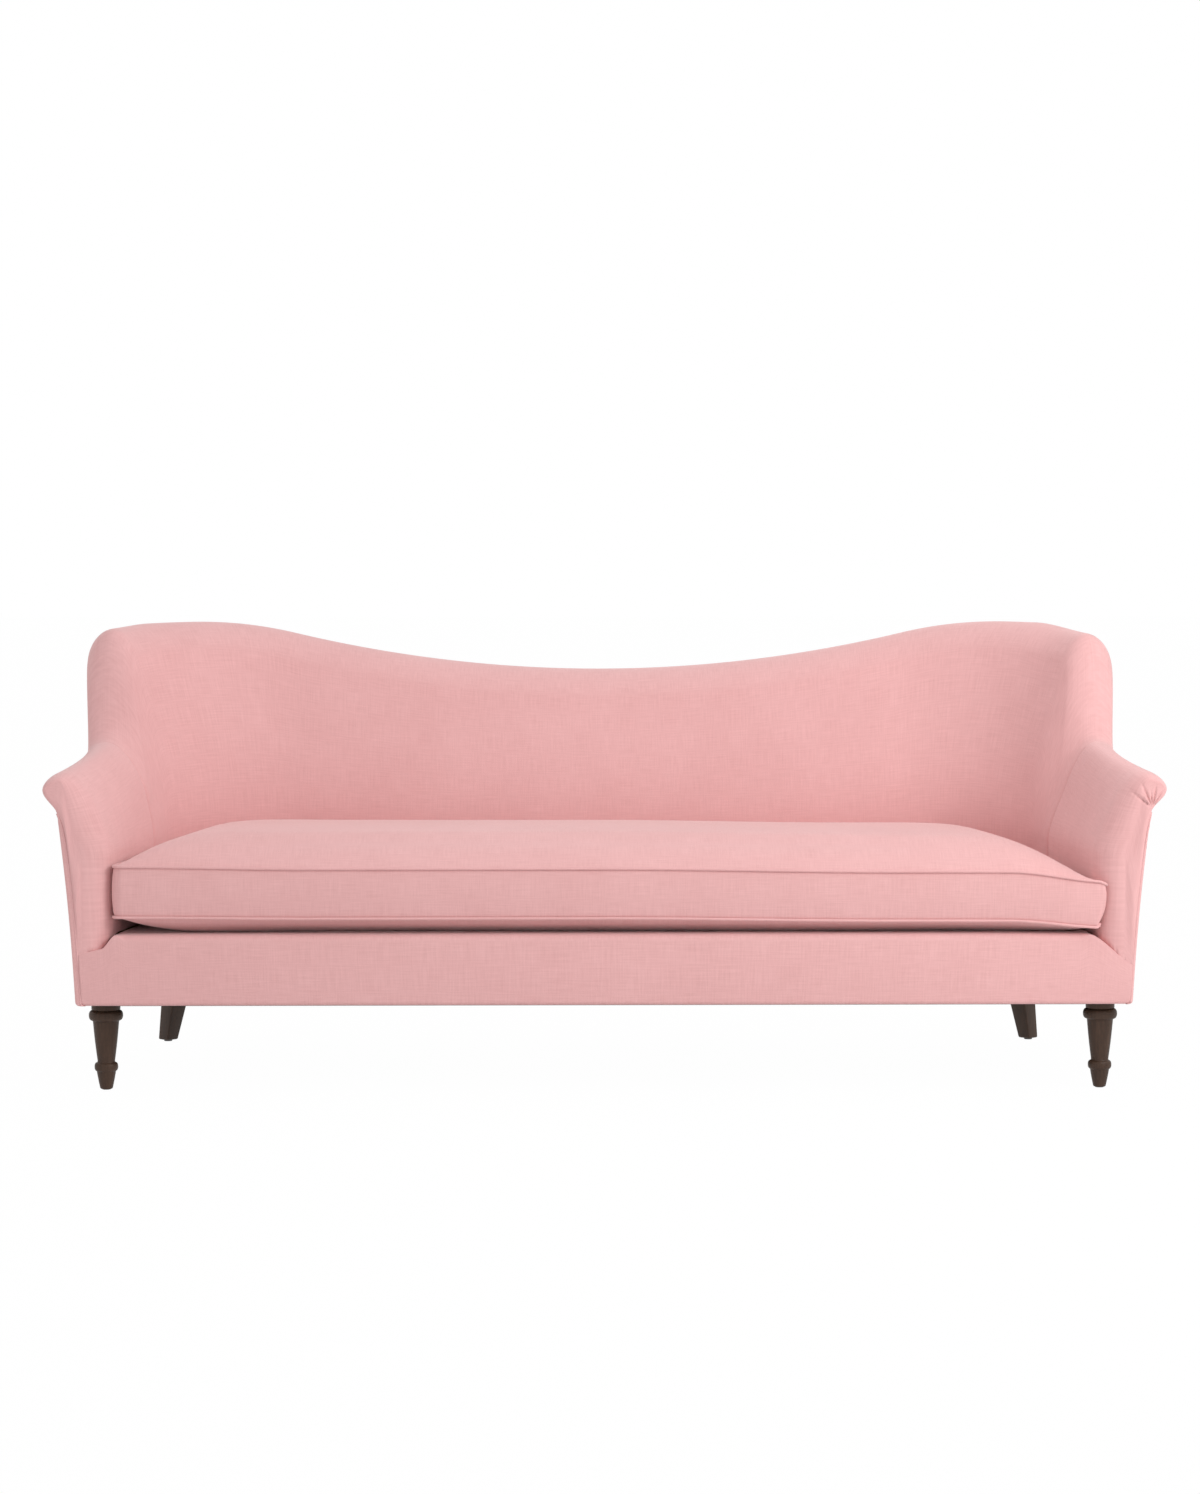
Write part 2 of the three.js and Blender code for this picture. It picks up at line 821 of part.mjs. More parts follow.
// Sinuous spring from the front rail to the spring rail.
function seatSpring(x) {
  const front = borderPad + springEndSet;
  const back = springRailBack - springEndSet;
  const waves = Math.round((back - front) / springPitch);
  const z = railTop + fit + springWire / 2;
  const path = [];
  for (let i = 0; i < waves; i += 1) {
    const y = mix(front, back, (i + 0.5) / waves);
    const side = (i % 2 ? 1 : -1) * (springWidth / 2);
    path.push(new THREE.Vector3(x + side, y - springPitch / 4, z));
    path.push(new THREE.Vector3(x + side, y + springPitch / 4, z));
  }
  return cord(path, springWire / 2, 4, false);
}

function springs() {
  for (let i = 0; i < springCount; i += 1) {
    const x = mix(-springHalf, springHalf, i / (springCount - 1));
    piece(`seat_spring_${i + 1}`, seatSpring(x), steelColour, 0.4, 0.9);
  }
}

// Webbing straps that carry the back's padding, between the tack rail and the top rail.
function backWebs() {
  const half = seatCornerX - webInset;
  for (let i = 0; i < webCount; i += 1) {
    const x = mix(-half, half, i / (webCount - 1));
    piece(`back_web_${i + 1}`, backWeb(x), juteColour);
  }
}

function backWeb(x) {
  return loft([-webWidth / 2, webWidth / 2].map((side) => {
    const section = sectionAt(straightStation(x + side));
    const line = skin(section, insidePad, fit, deckHeight + tackRailRise).slice(0, 10);
    const outer = line.map((p) => flat(p.x + webGauge, p.y)).reverse();
    return ringOf([...line, ...outer], (p) => new THREE.Vector3(x + side, seatDepth + p.x, p.y));
  }));
}

// Uprights of the back, between the two rear rails below and the top rail above.
function backUprights() {
  let number = 1;
  for (const side of [-1, 1]) {
    for (const place of [uprightHalf, seatCornerX - uprightInset]) {
      piece(`back_upright_${number}`, backUpright(side * place), timberColour, 0.8);
      number += 1;
    }
  }
}

function backUpright(x) {
  const ends = [-uprightGauge / 2, uprightGauge / 2];
  const front = springRailBack + fit;
  const back = baseBack - backPanel - railGauge - fit * 2;
  return loft(ends.map((side) => {
    const section = sectionAt(straightStation(x + side));
    const rail = topRailOutline(section, webSeam + webGauge);
    const near = rail[0];
    const far = rail.at(-1);
    const kneeHeight = deckHeight + tackRailRise + tackRailHeight;
    return ringOf([
      flat(front, underside),
      flat(back, underside),
      flat(back, kneeHeight),
      flat(seatDepth + far.x, far.y - uprightSeam),
      flat(seatDepth + near.x, near.y - uprightSeam),
      flat(front, kneeHeight),
    ], (p) => new THREE.Vector3(x + side, p.x, p.y));
  }));
}

// Base frame
const sideRailOuter = baseHalf - armPanel - sideRailSet - fit;
const frameFront = borderPad + fit;
const rearCornerCentreX = baseHalf - baseCorner;
const rearCornerCentreY = baseBack - baseCorner;
const rearCornerOuter = baseCorner - backPanel - rearCornerGap;
const rearCornerInner = rearCornerOuter - rearCornerGauge;

function baseFrame() {
  const blockInner = sideRailOuter - cornerBlockWidth;
  const railHalf = blockInner - fit;
  piece('front_rail', block(-railHalf, railHalf, frameFront, frameFront + railGauge, underside, railTop),
    timberColour, 0.8);
  const backOuter = baseBack - backPanel - fit;
  const backRailHalf = rearCornerCentreX - fit;
  piece('back_rail', block(-backRailHalf, backRailHalf, backOuter - railGauge, backOuter, underside, railTop),
    timberColour, 0.8);
  const springRailHalf = rearCornerCentreX
    + Math.sqrt(rearCornerInner ** 2 - (springRailBack - rearCornerCentreY) ** 2) - fit * 2;
  piece('spring_rail', block(-springRailHalf, springRailHalf, springRailBack - railGauge, springRailBack,
    underside, railTop), timberColour, 0.8);
  const stretcherTop = railTop - stretcherDrop;
  for (const [name, side] of [['left', -1], ['right', 1]]) {
    const x = side * stretcherHalf;
    piece(`stretcher_${name}`, block(x - railGauge / 2, x + railGauge / 2, frameFront + railGauge + fit,
      springRailBack - railGauge - fit, underside, stretcherTop), timberColour, 0.8);
  }
  const blockBack = frameFront + cornerBlockLength;
  pair('side_rail', () => block(sideRailOuter - railGauge, sideRailOuter, blockBack + fit,
    rearCornerCentreY - fit, underside, railTop), timberColour, 0.8);
  pair('front_corner_block', () => cut(
    block(blockInner, sideRailOuter, frameFront, blockBack, underside, railTop),
    boltHole(frontLegHalf, frontLegSet),
  ), timberColour, 0.8);
  pair('rear_corner_block', rearCorner, timberColour, 0.8);
}

// Hole for a leg's bolt, through a frame block.
function boltHole(x, y) {
  const radius = boltDiameter / 2 + boltClearance;
  const length = railTop - underside + 2 * overrun;
  const hole = new THREE.CylinderGeometry(radius, radius, length, 12);
  return hole.rotateX(Math.PI / 2).translate(x, y, (railTop + underside) / 2);
}

// Curved block in the rear corner of the base.
function rearCorner() {
  const shape = new THREE.Shape();
  shape.absarc(0, 0, rearCornerOuter, 0, Math.PI / 2, false);
  shape.absarc(0, 0, rearCornerInner, Math.PI / 2, 0, true);
  const geometry = new THREE.ExtrudeGeometry(shape, {
    depth: railTop - underside, bevelEnabled: false, curveSegments: 8,
  });
  geometry.translate(rearCornerCentreX, rearCornerCentreY, underside);
  return cut(geometry, boltHole(rearLegHalf, rearLegSet));
}

// Cloth over the underside, cut out round the legs.
function dustCover() {
  const half = baseHalf - armPanel - coverInset;
  const back = baseBack - backPanel - coverInset;
  const corner = baseCorner - backPanel - coverInset;
  const shape = new THREE.Shape();
  shape.moveTo(-half, coverInset);
  shape.lineTo(half, coverInset);
  shape.absarc(half - corner, back - corner, corner, 0, Math.PI / 2, false);
  shape.absarc(corner - half, back - corner, corner, Math.PI / 2, Math.PI, false);
  const sheet = new THREE.ExtrudeGeometry(shape, { depth: coverGauge, bevelEnabled: false, curveSegments: 6 });
  sheet.translate(0, 0, underside - coverGauge - fit);
  const tools = [];
  for (const side of [-1, 1]) {
    const round = collarDiameter / 2 + coverGauge;
    const frontHole = new THREE.CylinderGeometry(round, round, overrun, 16);
    tools.push(frontHole.rotateX(Math.PI / 2).translate(side * frontLegHalf, frontLegSet, underside));
    const square = rearLegTop + coverGauge * 2;
    const rearHole = new THREE.BoxGeometry(square, square, overrun).rotateZ(Math.PI / 4);
    tools.push(rearHole.translate(side * rearLegHalf, rearLegSet, underside));
  }
  return cut(sheet, ...tools);
}

// Turned front leg with its hanger bolt.
function frontLeg() {
  const top = underside - fit;
  const bolt = boltDiameter / 2;
  const radius = (diameter) => diameter / 2;
  const ringTop = top - collarHeight;
  const shaftTop = ringTop - ringHeight;
  const lowTop = glideHeight + lowRingTop;
  const lowEnd = lowTop - lowRingHeight;
  const footEnd = glideHeight + fit;
  const collarEnd = radius(collarDiameter) - turnedEase / 2;
  const shaftEnd = radius(shaftEndDiameter) + turnedEase / 2;
  const profile = [
    flat(0, top + boltInFrame),
    flat(bolt, top + boltInFrame),
    flat(bolt, top),
    flat(radius(collarDiameter), top),
    flat(radius(collarDiameter), ringTop + turnedEase / 2),
    flat(radius(collarDiameter) - turnedEase, ringTop),
    ...bead(collarEnd, ringTop, shaftTop, radius(ringDiameter), radius(shaftTopDiameter)),
    flat(radius(shaftTopDiameter), shaftTop - turnedEase),
    flat(mix(radius(shaftTopDiameter), radius(shaftEndDiameter), 0.55), mix(shaftTop, lowTop, 0.5)),
    flat(radius(shaftEndDiameter), lowTop),
    ...bead(shaftEnd, lowTop, lowEnd, radius(lowRingDiameter), radius(footTopDiameter)),
    flat(radius(footTopDiameter), lowEnd - turnedEase),
    flat(mix(radius(footTopDiameter), radius(footEndDiameter), 0.6), mix(lowEnd, footEnd, 0.7)),
    flat(radius(footEndDiameter), footEnd + turnedEase),
    flat(radius(footEndDiameter) - turnedEase, footEnd),
    flat(0, footEnd),
  ];
  return new THREE.LatheGeometry(profile.reverse(), 20).rotateX(Math.PI / 2);
}

// Half-round bead of a turned leg, between two heights.
function bead(start, high, low, widest, end) {
  const points = [];
  const steps = 6;
  for (let i = 1; i < steps; i += 1) {
    const angle = Math.PI * (i / steps);
    const from = i < steps / 2 ? start : end;
    const radius = from + (widest - from) * Math.sin(angle);
    points.push(flat(radius, mix(high, low, (1 - Math.cos(angle)) / 2)));
  }
  return points;
}

// Square tapered rear leg, turned by 45 degrees and splayed, with its hanger bolt.
function rearLeg() {
  const square = (size) => [flat(size, 0), flat(0, size), flat(-size, 0), flat(0, -size)];
  const top = underside - fit;
  const end = glideHeight + fit;
  const halfTop = rearLegTop / Math.SQRT2;
  const halfEnd = rearLegEnd / Math.SQRT2;
  const rings = [
    ringOf(square(halfTop), (p) => new THREE.Vector3(rearLegHalf + p.x, rearLegSet + p.y, top)),
    ringOf(square(halfEnd), (p) => new THREE.Vector3(
      rearLegHalf + rearLegSplay + p.x,
      rearLegSet + rearLegSplay + p.y,
      end,
    )),
  ];
  const length = boltInFrame + rearLegTop / 2;
  const bolt = new THREE.CylinderGeometry(boltDiameter / 2, boltDiameter / 2, length, 10).rotateX(Math.PI / 2);
  return join(loft(rings), bolt.translate(rearLegHalf, rearLegSet, top + boltInFrame - length / 2));
}

function legs() {
  for (const [name, side] of [['left', -1], ['right', 1]]) {
    const front = piece(`front_leg_${name}`, frontLeg(), legColour, 0.45);
    front.position.set(side * frontLegHalf, frontLegSet, 0);
  }
  pair('rear_leg', rearLeg, legColour, 0.45);
}

function glides() {
  for (const [name, side] of [['left', -1], ['right', 1]]) {
    const places = [
      ['front', frontLegHalf, frontLegSet, 0, frontGlideDiameter],
      ['rear', rearLegHalf, rearLegSet, rearLegSplay, rearGlideDiameter],
    ];
    for (const [end, x, y, splay, glide] of places) {
      const disc = new THREE.CylinderGeometry(glide / 2, glide / 2, glideHeight, 16);
      const discMesh = piece(`${end}_glide_${name}`, disc.rotateX(Math.PI / 2), steelColour, 0.5, 0.6);
      discMesh.position.set(side * (x + splay), y + splay, glideHeight / 2);
    }
  }
}

piece('inside_back', insideBack(), fabricColour);
piece('outside_back', outsideBack(), fabricColour);
armPads();
pair('outside_arm', outerArm, fabricColour);
pair('arm_welt', armWelt, fabricColour);
piece('front_border', frontBorder(), fabricColour);
piece('deck_pad', deckPad(), fabricColour);
piece('seat_cushion', seatCushion(), fabricColour);
piece('cushion_welt_top', cushionWelt(cushionTopWelt), fabricColour);
piece('cushion_welt_bottom', cushionWelt(cushionBottomWelt), fabricColour);
piece('dust_cover', dustCover(), liningColour);
baseFrame();
pair('arm_post', armPost, timberColour, 0.8);
pair('arm_top_rail', armTopRail, timberColour, 0.8);
pair('arm_tack_rail', armTackRail, timberColour, 0.8);
pair('back_post', backPost, timberColour, 0.8);
piece('back_top_rail', backTopRail(), timberColour, 0.8);
piece('back_tack_rail', backTackRail(), timberColour, 0.8);
backUprights();
backWebs();
springs();
legs();
glides();

sofa.position.y = -depth / 2;

export default sofa;
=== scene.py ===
"""Upholstered sofa: the covers, cushion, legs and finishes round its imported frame, with stage and camera.

Metres. X runs to the right as seen from the front, Y to the back, Z up from the floor. A depth is counted
from the front of the arms.
"""

import logging
import math
from dataclasses import dataclass
from enum import Enum
from typing import Any, Callable

import bmesh
import bpy
from mathutils import Matrix, Vector, noise


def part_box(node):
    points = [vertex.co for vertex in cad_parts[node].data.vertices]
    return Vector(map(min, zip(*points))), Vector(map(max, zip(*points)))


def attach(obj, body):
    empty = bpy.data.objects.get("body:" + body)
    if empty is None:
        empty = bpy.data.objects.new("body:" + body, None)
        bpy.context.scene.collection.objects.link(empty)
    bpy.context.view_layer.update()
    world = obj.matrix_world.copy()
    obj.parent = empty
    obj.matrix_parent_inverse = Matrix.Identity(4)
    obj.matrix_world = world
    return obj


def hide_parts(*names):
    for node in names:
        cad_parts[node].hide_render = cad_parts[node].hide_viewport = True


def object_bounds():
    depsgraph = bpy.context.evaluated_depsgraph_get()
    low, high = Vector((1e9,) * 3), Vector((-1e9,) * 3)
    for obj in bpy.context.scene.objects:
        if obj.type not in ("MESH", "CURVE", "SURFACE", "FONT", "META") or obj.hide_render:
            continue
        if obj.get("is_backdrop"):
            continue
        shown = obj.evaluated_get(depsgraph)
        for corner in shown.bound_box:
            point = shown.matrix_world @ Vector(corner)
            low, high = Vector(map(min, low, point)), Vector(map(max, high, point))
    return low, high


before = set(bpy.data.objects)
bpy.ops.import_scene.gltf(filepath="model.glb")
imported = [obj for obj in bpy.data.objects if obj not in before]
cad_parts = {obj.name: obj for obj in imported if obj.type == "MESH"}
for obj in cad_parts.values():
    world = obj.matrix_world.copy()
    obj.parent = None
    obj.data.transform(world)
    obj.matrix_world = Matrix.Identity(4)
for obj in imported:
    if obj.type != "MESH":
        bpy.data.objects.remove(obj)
cad_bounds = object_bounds()

log = logging.getLogger("sofa")

PHOTO_HEIGHT = 1494
WELD = 0.00005
RIM = 0.001
ALONG_AXIS = 0.9
ROW_EASE = 0.6
COLUMN_EASE = 0.75
CROWDING = 0.85
CROWN_PEAK = 6.75
PUCKER_SEED = 7
WELT_SIDES = 10
WHITE = (1, 1, 1, 1)

Colour = tuple[float, float, float, float]
Triple = tuple[float, float, float]
Place = Callable[[float, float], Vector]
Spread = Callable[[float], float]


class Side(Enum):
    """One of the sofa's two ends, as seen from the front. The value is its sign along X."""

    LEFT = -1
    RIGHT = 1

    @property
    def word(self) -> str:
        """The side's name as the nodes have it."""
        return self.name.lower()


def mix(start: float, end: float, share: float) -> float:
    """Value between two others."""
    return start + (end - start) * share


def clamp(value: float, low: float = 0.0, high: float = 1.0) -> float:
    """Value held between two limits."""
    return max(low, min(high, value))


def smooth(share: float) -> float:
    """Smooth rise from 0 to 1."""
    held = clamp(share)
    return held * held * (3 - 2 * held)


def smoother(share: float) -> float:
    """Rise from 0 to 1 that also starts and ends without a bend."""
    held = clamp(share)
    return held**3 * (held * (held * 6 - 15) + 10)


def rounding(share: float) -> float:
    """Fall of a quarter circle from 1 at its start to 0 at its end."""
    return 1 - math.sqrt(max(0.0, 1 - clamp(1 - share) ** 2))


def pair(first: float, second: float) -> Vector:
    """Point of a flat outline."""
    return Vector((first, second))


@dataclass(frozen=True)
class Curve:
    """Cubic curve of a flat outline."""

    start: Vector
    first: Vector
    second: Vector
    end: Vector

    def at(self, share: float) -> Vector:
        """Point of the curve at a share of its way."""
        rest = 1 - share
        return (
            self.start * rest**3
            + self.first * (3 * rest * rest * share)
            + self.second * (3 * rest * share * share)
            + self.end * share**3
        )


@dataclass(frozen=True)
class Profile:
    """Chain of curves, with the share of the rows at which each one ends."""

    curves: tuple[Curve, ...]
    end_shares: tuple[float, ...]

    def at(self, share: float) -> Vector:
        """Point of the chain at a share of its rows."""
        start = 0.0
        for curve, end in zip(self.curves, self.end_shares):
            if share <= end or end == self.end_shares[-1]:
                return curve.at(clamp((share - start) / (end - start)))
            start = end
        raise ValueError("a profile has at least one curve")


@dataclass(frozen=True)
class Section:
    """Corner points of a cross-section, outwards from the seat line and up from the floor."""

    seat: Vector
    shoulder: Vector
    ridge: Vector
    tip: Vector
    under: Vector
    base: Vector


@dataclass(frozen=True)
class Station:
    """Place on the seat line behind the arms, with the way outwards and how far the corner has turned."""

    x: float
    depth: float
    along: Vector
    turn_share: float
    run: float


@dataclass(frozen=True)
class SeamLine:
    """Fall of the seam between an arm's front and the front border, outwards from its start."""

    start: float
    fall: float
    run: float
    slope: float


@dataclass(frozen=True)
class Droop:
    """Fall of the back's top line towards one of its ends."""

    fall: float
    start: float
    run: float

    def at(self, away: float) -> float:
        """Fall at a distance from the sofa's middle."""
        return self.fall * smooth((away - self.start) / self.run)


@dataclass(frozen=True)
class Crease:
    """Crease of the right arm's roll: its direction, in degrees from the right, its length and its depth."""

    angle: float
    length: float
    depth: float


@dataclass(frozen=True)
class Handles:
    """Shares at which the handles of a skin's curves stand."""

    low: float = 0.33
    high: float = 0.66
    belly: float = 0.3
    lean: float = 0.34
    rise: float = 0.45
    over: float = 0.42
    tip: float = 0.4
    return_out: float = 0.1
    return_up: float = 0.25


@dataclass(frozen=True)
class SofaForm:
    """Lines that the sofa's pieces share: its seat line in plan, and the sections of its arms and back."""

    half_width: float = 1.162
    depth: float = 0.875
    underside: float = 0.182
    seat_half_front: float = 1.026
    seat_half_seam: float = 0.960
    arm_depth: float = 0.350
    seat_depth: float = 0.600
    seat_line: float = 0.487
    deck_height: float = 0.328
    base_half: float = 1.092
    base_back: float = 0.803
    base_corner: float = 0.240
    roll_half_seam: float = 1.105
    arm_height_front: float = 0.661
    arm_height_seam: float = 0.708
    roll_drop: float = 0.033
    roll_reach: float = 0.041
    roll_return_front: float = 0.035
    roll_return_seam: float = 0.020
    roll_under: float = 0.044
    shoulder_drop: float = 0.118
    shoulder_lean: float = 0.015
    nose_depth: float = 0.052
    nose_round: float = 0.050
    nose_ridge_share: float = 0.30
    nose_tip_share: float = 0.23
    arm_top_power: float = 1.3
    arm_spread_power: float = 0.74
    back_half: float = 1.121
    back_corner: float = 0.400
    lean_side: float = 0.22
    lean_middle: float = 0.30
    lean_share: float = 1.3
    belly: float = 0.012
    back_round: float = 0.062
    lip_drop: float = 0.046
    wing_rise: float = 0.115
    valley_height: float = 0.843
    valley_radius: float = 2.900
    hump_height: float = 0.951
    hump_half: float = 0.925
    shoulder_radius: float = 4.200
    pad: float = 0.030
    left_panel: float = 0.013
    right_panel: float = 0.006
    panel_hollow: float = 0.004
    seam_start: float = 0.998
    left_seam: SeamLine = SeamLine(start=1.010, fall=0.022, run=0.028, slope=0.21)
    right_seam: SeamLine = SeamLine(start=0.998, fall=0.066, run=0.110, slope=0.0)
    right_lean: float = 0.014
    right_spread: float = 0.006
    left_droop: Droop = Droop(fall=0.007, start=1.010, run=0.07)
    right_droop: Droop = Droop(fall=0.022, start=0.985, run=0.11)
    handles: Handles = Handles()
    reach_steps: int = 24
    leg_gap: float = 0.0003

    @property
    def taper(self) -> float:
        """Angle at which the seat's sides run in towards the back."""
        return math.atan((self.seat_half_front - self.seat_half_seam) / self.arm_depth)

    @property
    def corner(self) -> float:
        """Radius of the seat line's rear corners."""
        return (self.seat_depth - self.arm_depth) / (1 - math.sin(self.taper))

    @property
    def corner_x(self) -> float:
        """Half the width of the seat line's straight back, where its corners start."""
        return self.seat_half_seam - self.corner * math.cos(self.taper)

    @property
    def corner_depth(self) -> float:
        """Depth of the corners' middle."""
        return self.seat_depth - self.corner

    @property
    def half_run(self) -> float:
        """Length of the seat line from the seam of an arm to the middle of the back."""
        return self.corner * (math.pi / 2 - self.taper) + self.corner_x

    def spot(self, x: float, depth: float, height: float) -> Vector:
        """Point in the part's frame."""
        return Vector((x, depth - self.depth / 2, height))

    def seat_half(self, depth: float) -> float:
        """Half the seat's width between the arms, at a depth."""
        return mix(self.seat_half_front, self.seat_half_seam, depth / self.arm_depth)

    def nose_inset(self, depth: float) -> float:
        """How far the rounded front of an arm stands in from its sides, at a depth."""
        return self.nose_round * rounding(depth / self.nose_depth)

    def arm_section(self, depth: float, side: Side) -> Section:
        """Section of an arm, at a depth. The right arm has been leant on and stands a little further out."""
        share = clamp(depth / self.arm_depth)
        seat = mix(self.seat_half_front, self.seat_half_seam, share)
        top = mix(self.arm_height_front, self.arm_height_seam, share**self.arm_top_power)
        inset = self.nose_inset(depth)
        back = mix(self.roll_return_front, self.roll_return_seam, share)
        under = top - self.roll_drop - self.roll_under
        pushed = self.right_lean * share if side is Side.RIGHT else 0.0
        spread = self.right_spread * (1 - share) if side is Side.RIGHT else 0.0
        tip = mix(self.half_width, self.roll_half_seam, smooth(share**self.arm_spread_power)) - seat + spread
        return Section(
            seat=pair(inset, self.seat_line),
            shoulder=pair(self.shoulder_lean + inset + pushed, top - self.shoulder_drop),
            ridge=pair(tip - self.roll_reach, top - inset * self.nose_ridge_share),
            tip=pair(tip - inset * self.nose_tip_share, top - self.roll_drop),
            under=pair(tip - spread / 2 - back, under),
            base=pair(self.base_half - seat + spread / 2, self.underside),
        )

    def outside(self, x: float, depth: float, half: float, back: float, corner: float) -> float:
        """Distance from a plan outline with rounded rear corners, below zero inside it."""
        across = abs(x) - (half - corner)
        away = depth - (back - corner)
        beyond = math.hypot(max(across, 0.0), max(away, 0.0))
        return beyond + min(max(across, away), 0.0) - corner

    def reach(self, station: Station, half: float, back: float, corner: float) -> float:
        """Distance from a station outwards to a plan outline."""
        near, far = 0.0, self.half_width
        for _ in range(self.reach_steps):
            middle = (near + far) / 2
            x = station.x + station.along.x * middle
            depth = station.depth + station.along.y * middle
            if self.outside(x, depth, half, back, corner) < 0:
                near = middle
            else:
                far = middle
        return near

    def top_line(self, x: float, side: Side) -> float:
        """Height of the back's top line: a hollow in the middle between two humps."""
        away = abs(x)
        rise = self.hump_height - self.valley_height
        turn = 2 * rise * self.valley_radius / self.hump_half
        hump_radius = self.hump_half**2 / (2 * rise) - self.valley_radius
        if away < turn:
            return self.valley_height + away**2 / (2 * self.valley_radius)
        if away < self.hump_half:
            return self.hump_height - (self.hump_half - away) ** 2 / (2 * hump_radius)
        droop = self.left_droop if side is Side.LEFT else self.right_droop
        return self.hump_height - droop.at(away) - (away - self.hump_half) ** 2 / (2 * self.shoulder_radius)

    def station(self, run: float) -> Station:
        """Station at a distance along the seat line from the seam of the right arm."""
        arc = self.corner * (math.pi / 2 - self.taper)
        if run < arc:
            angle = self.taper + run / self.corner
            turn_share = run / arc
            facing = turn_share * math.pi / 2
            x = self.corner_x + self.corner * math.cos(angle)
            depth = self.corner_depth + self.corner * math.sin(angle)
            return Station(x, depth, pair(math.cos(facing), math.sin(facing)), turn_share, run)
        return Station(self.corner_x - (run - arc), self.seat_depth, pair(0, 1), 1, run)

    def back_section(self, station: Station, side: Side) -> Section:
        """Section of the back alone, at a station."""
        tip = self.reach(station, self.back_half, self.depth, self.back_corner)
        base = self.reach(station, self.base_half, self.base_back, self.base_corner)
        top = self.top_line(station.x + station.along.x * (tip - self.back_round), side)
        lean = mix(self.lean_side, self.lean_middle, station.turn_share)
        shoulder_height = top - self.back_round
        shoulder = min(lean * (shoulder_height - self.seat_line), tip - 2 * self.pad)
        slope = (tip - base) / (shoulder_height - self.underside)
        return Section(
            seat=pair(0, self.seat_line),
            shoulder=pair(shoulder, shoulder_height),
            ridge=pair(mix(shoulder, tip, 0.5), top),
            tip=pair(tip, shoulder_height),
            under=pair(tip - slope * self.lip_drop, shoulder_height - self.lip_drop),
            base=pair(base, self.underside),
        )

    def wing_section(self, station: Station, side: Side) -> Section:
        """Section at a station: the arm's own at the seam, and the back's where the wing has risen."""
        arm = self.arm_section(self.arm_depth, side)
        back = self.back_section(station, side)
        share = smoother(station.run / self.wing_rise)
        if share >= 1:
            return back
        shift = self.seat_half_seam - station.x
        lean = station.along.x

        def blend(word: str) -> Vector:
            own = getattr(arm, word).copy()
            if word in ("ridge", "tip", "under"):
                own.x = (own.x + shift) / lean
            return own.lerp(getattr(back, word), share)

        words = ("seat", "shoulder", "ridge", "tip", "under")
        return Section(*(blend(word) for word in words), base=back.base)

    def skin(self, section: Section, end_shares: tuple[float, ...], foot: float, deep: float) -> Profile:
        """Skin of a section, from its foot up the inside and over the roll to its underside.

        Args:
            section: corner points of the section.
            end_shares: share of the rows at which each of the five curves ends.
            foot: height at which the skin starts.
            deep: how far the skin lies inside its place.

        Returns:
            The chain of curves.
        """
        seat = section.seat + pair(deep, 0)
        shoulder = section.shoulder + pair(deep, 0)
        ridge = section.ridge - pair(0, deep)
        tip = section.tip - pair(deep, 0)
        under = section.under - pair(deep, 0)
        rise = shoulder.y - seat.y
        height = ridge.y - shoulder.y
        over = ridge.x - shoulder.x
        outer = tip.x - ridge.x
        drop = ridge.y - tip.y
        slope = self.lean_share * (shoulder.x - seat.x) / rise
        belly = self.belly * rise / (self.valley_height - self.back_round - self.seat_line)
        start = pair(seat.x, foot)
        third = (seat - start) / 3
        share = self.handles
        curves = (
            Curve(start, start + third, seat - third, seat),
            Curve(
                seat,
                pair(seat.x - belly * share.belly, seat.y + rise * share.low),
                pair(shoulder.x - slope * rise * share.lean, seat.y + rise * share.high),
                shoulder,
            ),
            Curve(
                shoulder,
                pair(shoulder.x + slope * height * share.rise, shoulder.y + height * share.rise),
                pair(ridge.x - over * share.over, ridge.y),
                ridge,
            ),
            Curve(ridge, pair(ridge.x + outer * 0.5, ridge.y), pair(tip.x, tip.y + drop * 0.5), tip),
            Curve(
                tip,
                pair(tip.x, mix(tip.y, under.y, share.tip)),
                pair(mix(under.x, tip.x, share.return_out), mix(under.y, tip.y, share.return_up)),
                under,
            ),
        )
        return Profile(curves, end_shares)

    def outer_face(self, section: Section, height: float, hollow: float = 0.0) -> float:
        """Distance of the outer face from the seat line, at a height below the roll.

        Args:
            section: section that the face belongs to.
            height: height above the floor.
            hollow: how far the face is drawn in at half its height.

        Returns:
            The distance.
        """
        share = clamp((height - section.base.y) / (section.under.y - section.base.y))
        return mix(section.base.x, section.under.x, share) - hollow * math.sin(math.pi * share)

    def arm_face(self, depth: float, height: float, side: Side) -> float:
        """Distance of an arm's outer face from the seat line. Its slight hollow fades out to the back."""
        hollow = self.panel_hollow * (1 - clamp(depth / self.arm_depth))
        return self.outer_face(self.arm_section(depth, side), height, hollow)

    def panel_inset(self, side: Side) -> float:
        """Distance of an arm's outer front seam from its outer face: the right one is pulled further out."""
        return self.left_panel if side is Side.LEFT else self.right_panel

    def seam_height(self, x: float, side: Side) -> float:
        """Height of the seam between an arm's front and the front border.

        Args:
            x: distance from the sofa's middle.
            side: the arm. The seam falls steeply beside the seat on the left, and evenly on the right.

        Returns:
            The height of the seam, or of the deck beside it.
        """
        line = self.left_seam if side is Side.LEFT else self.right_seam
        away = max(0.0, abs(x) - line.start)
        return self.deck_height - line.fall * smooth(away / line.run) - line.slope * away


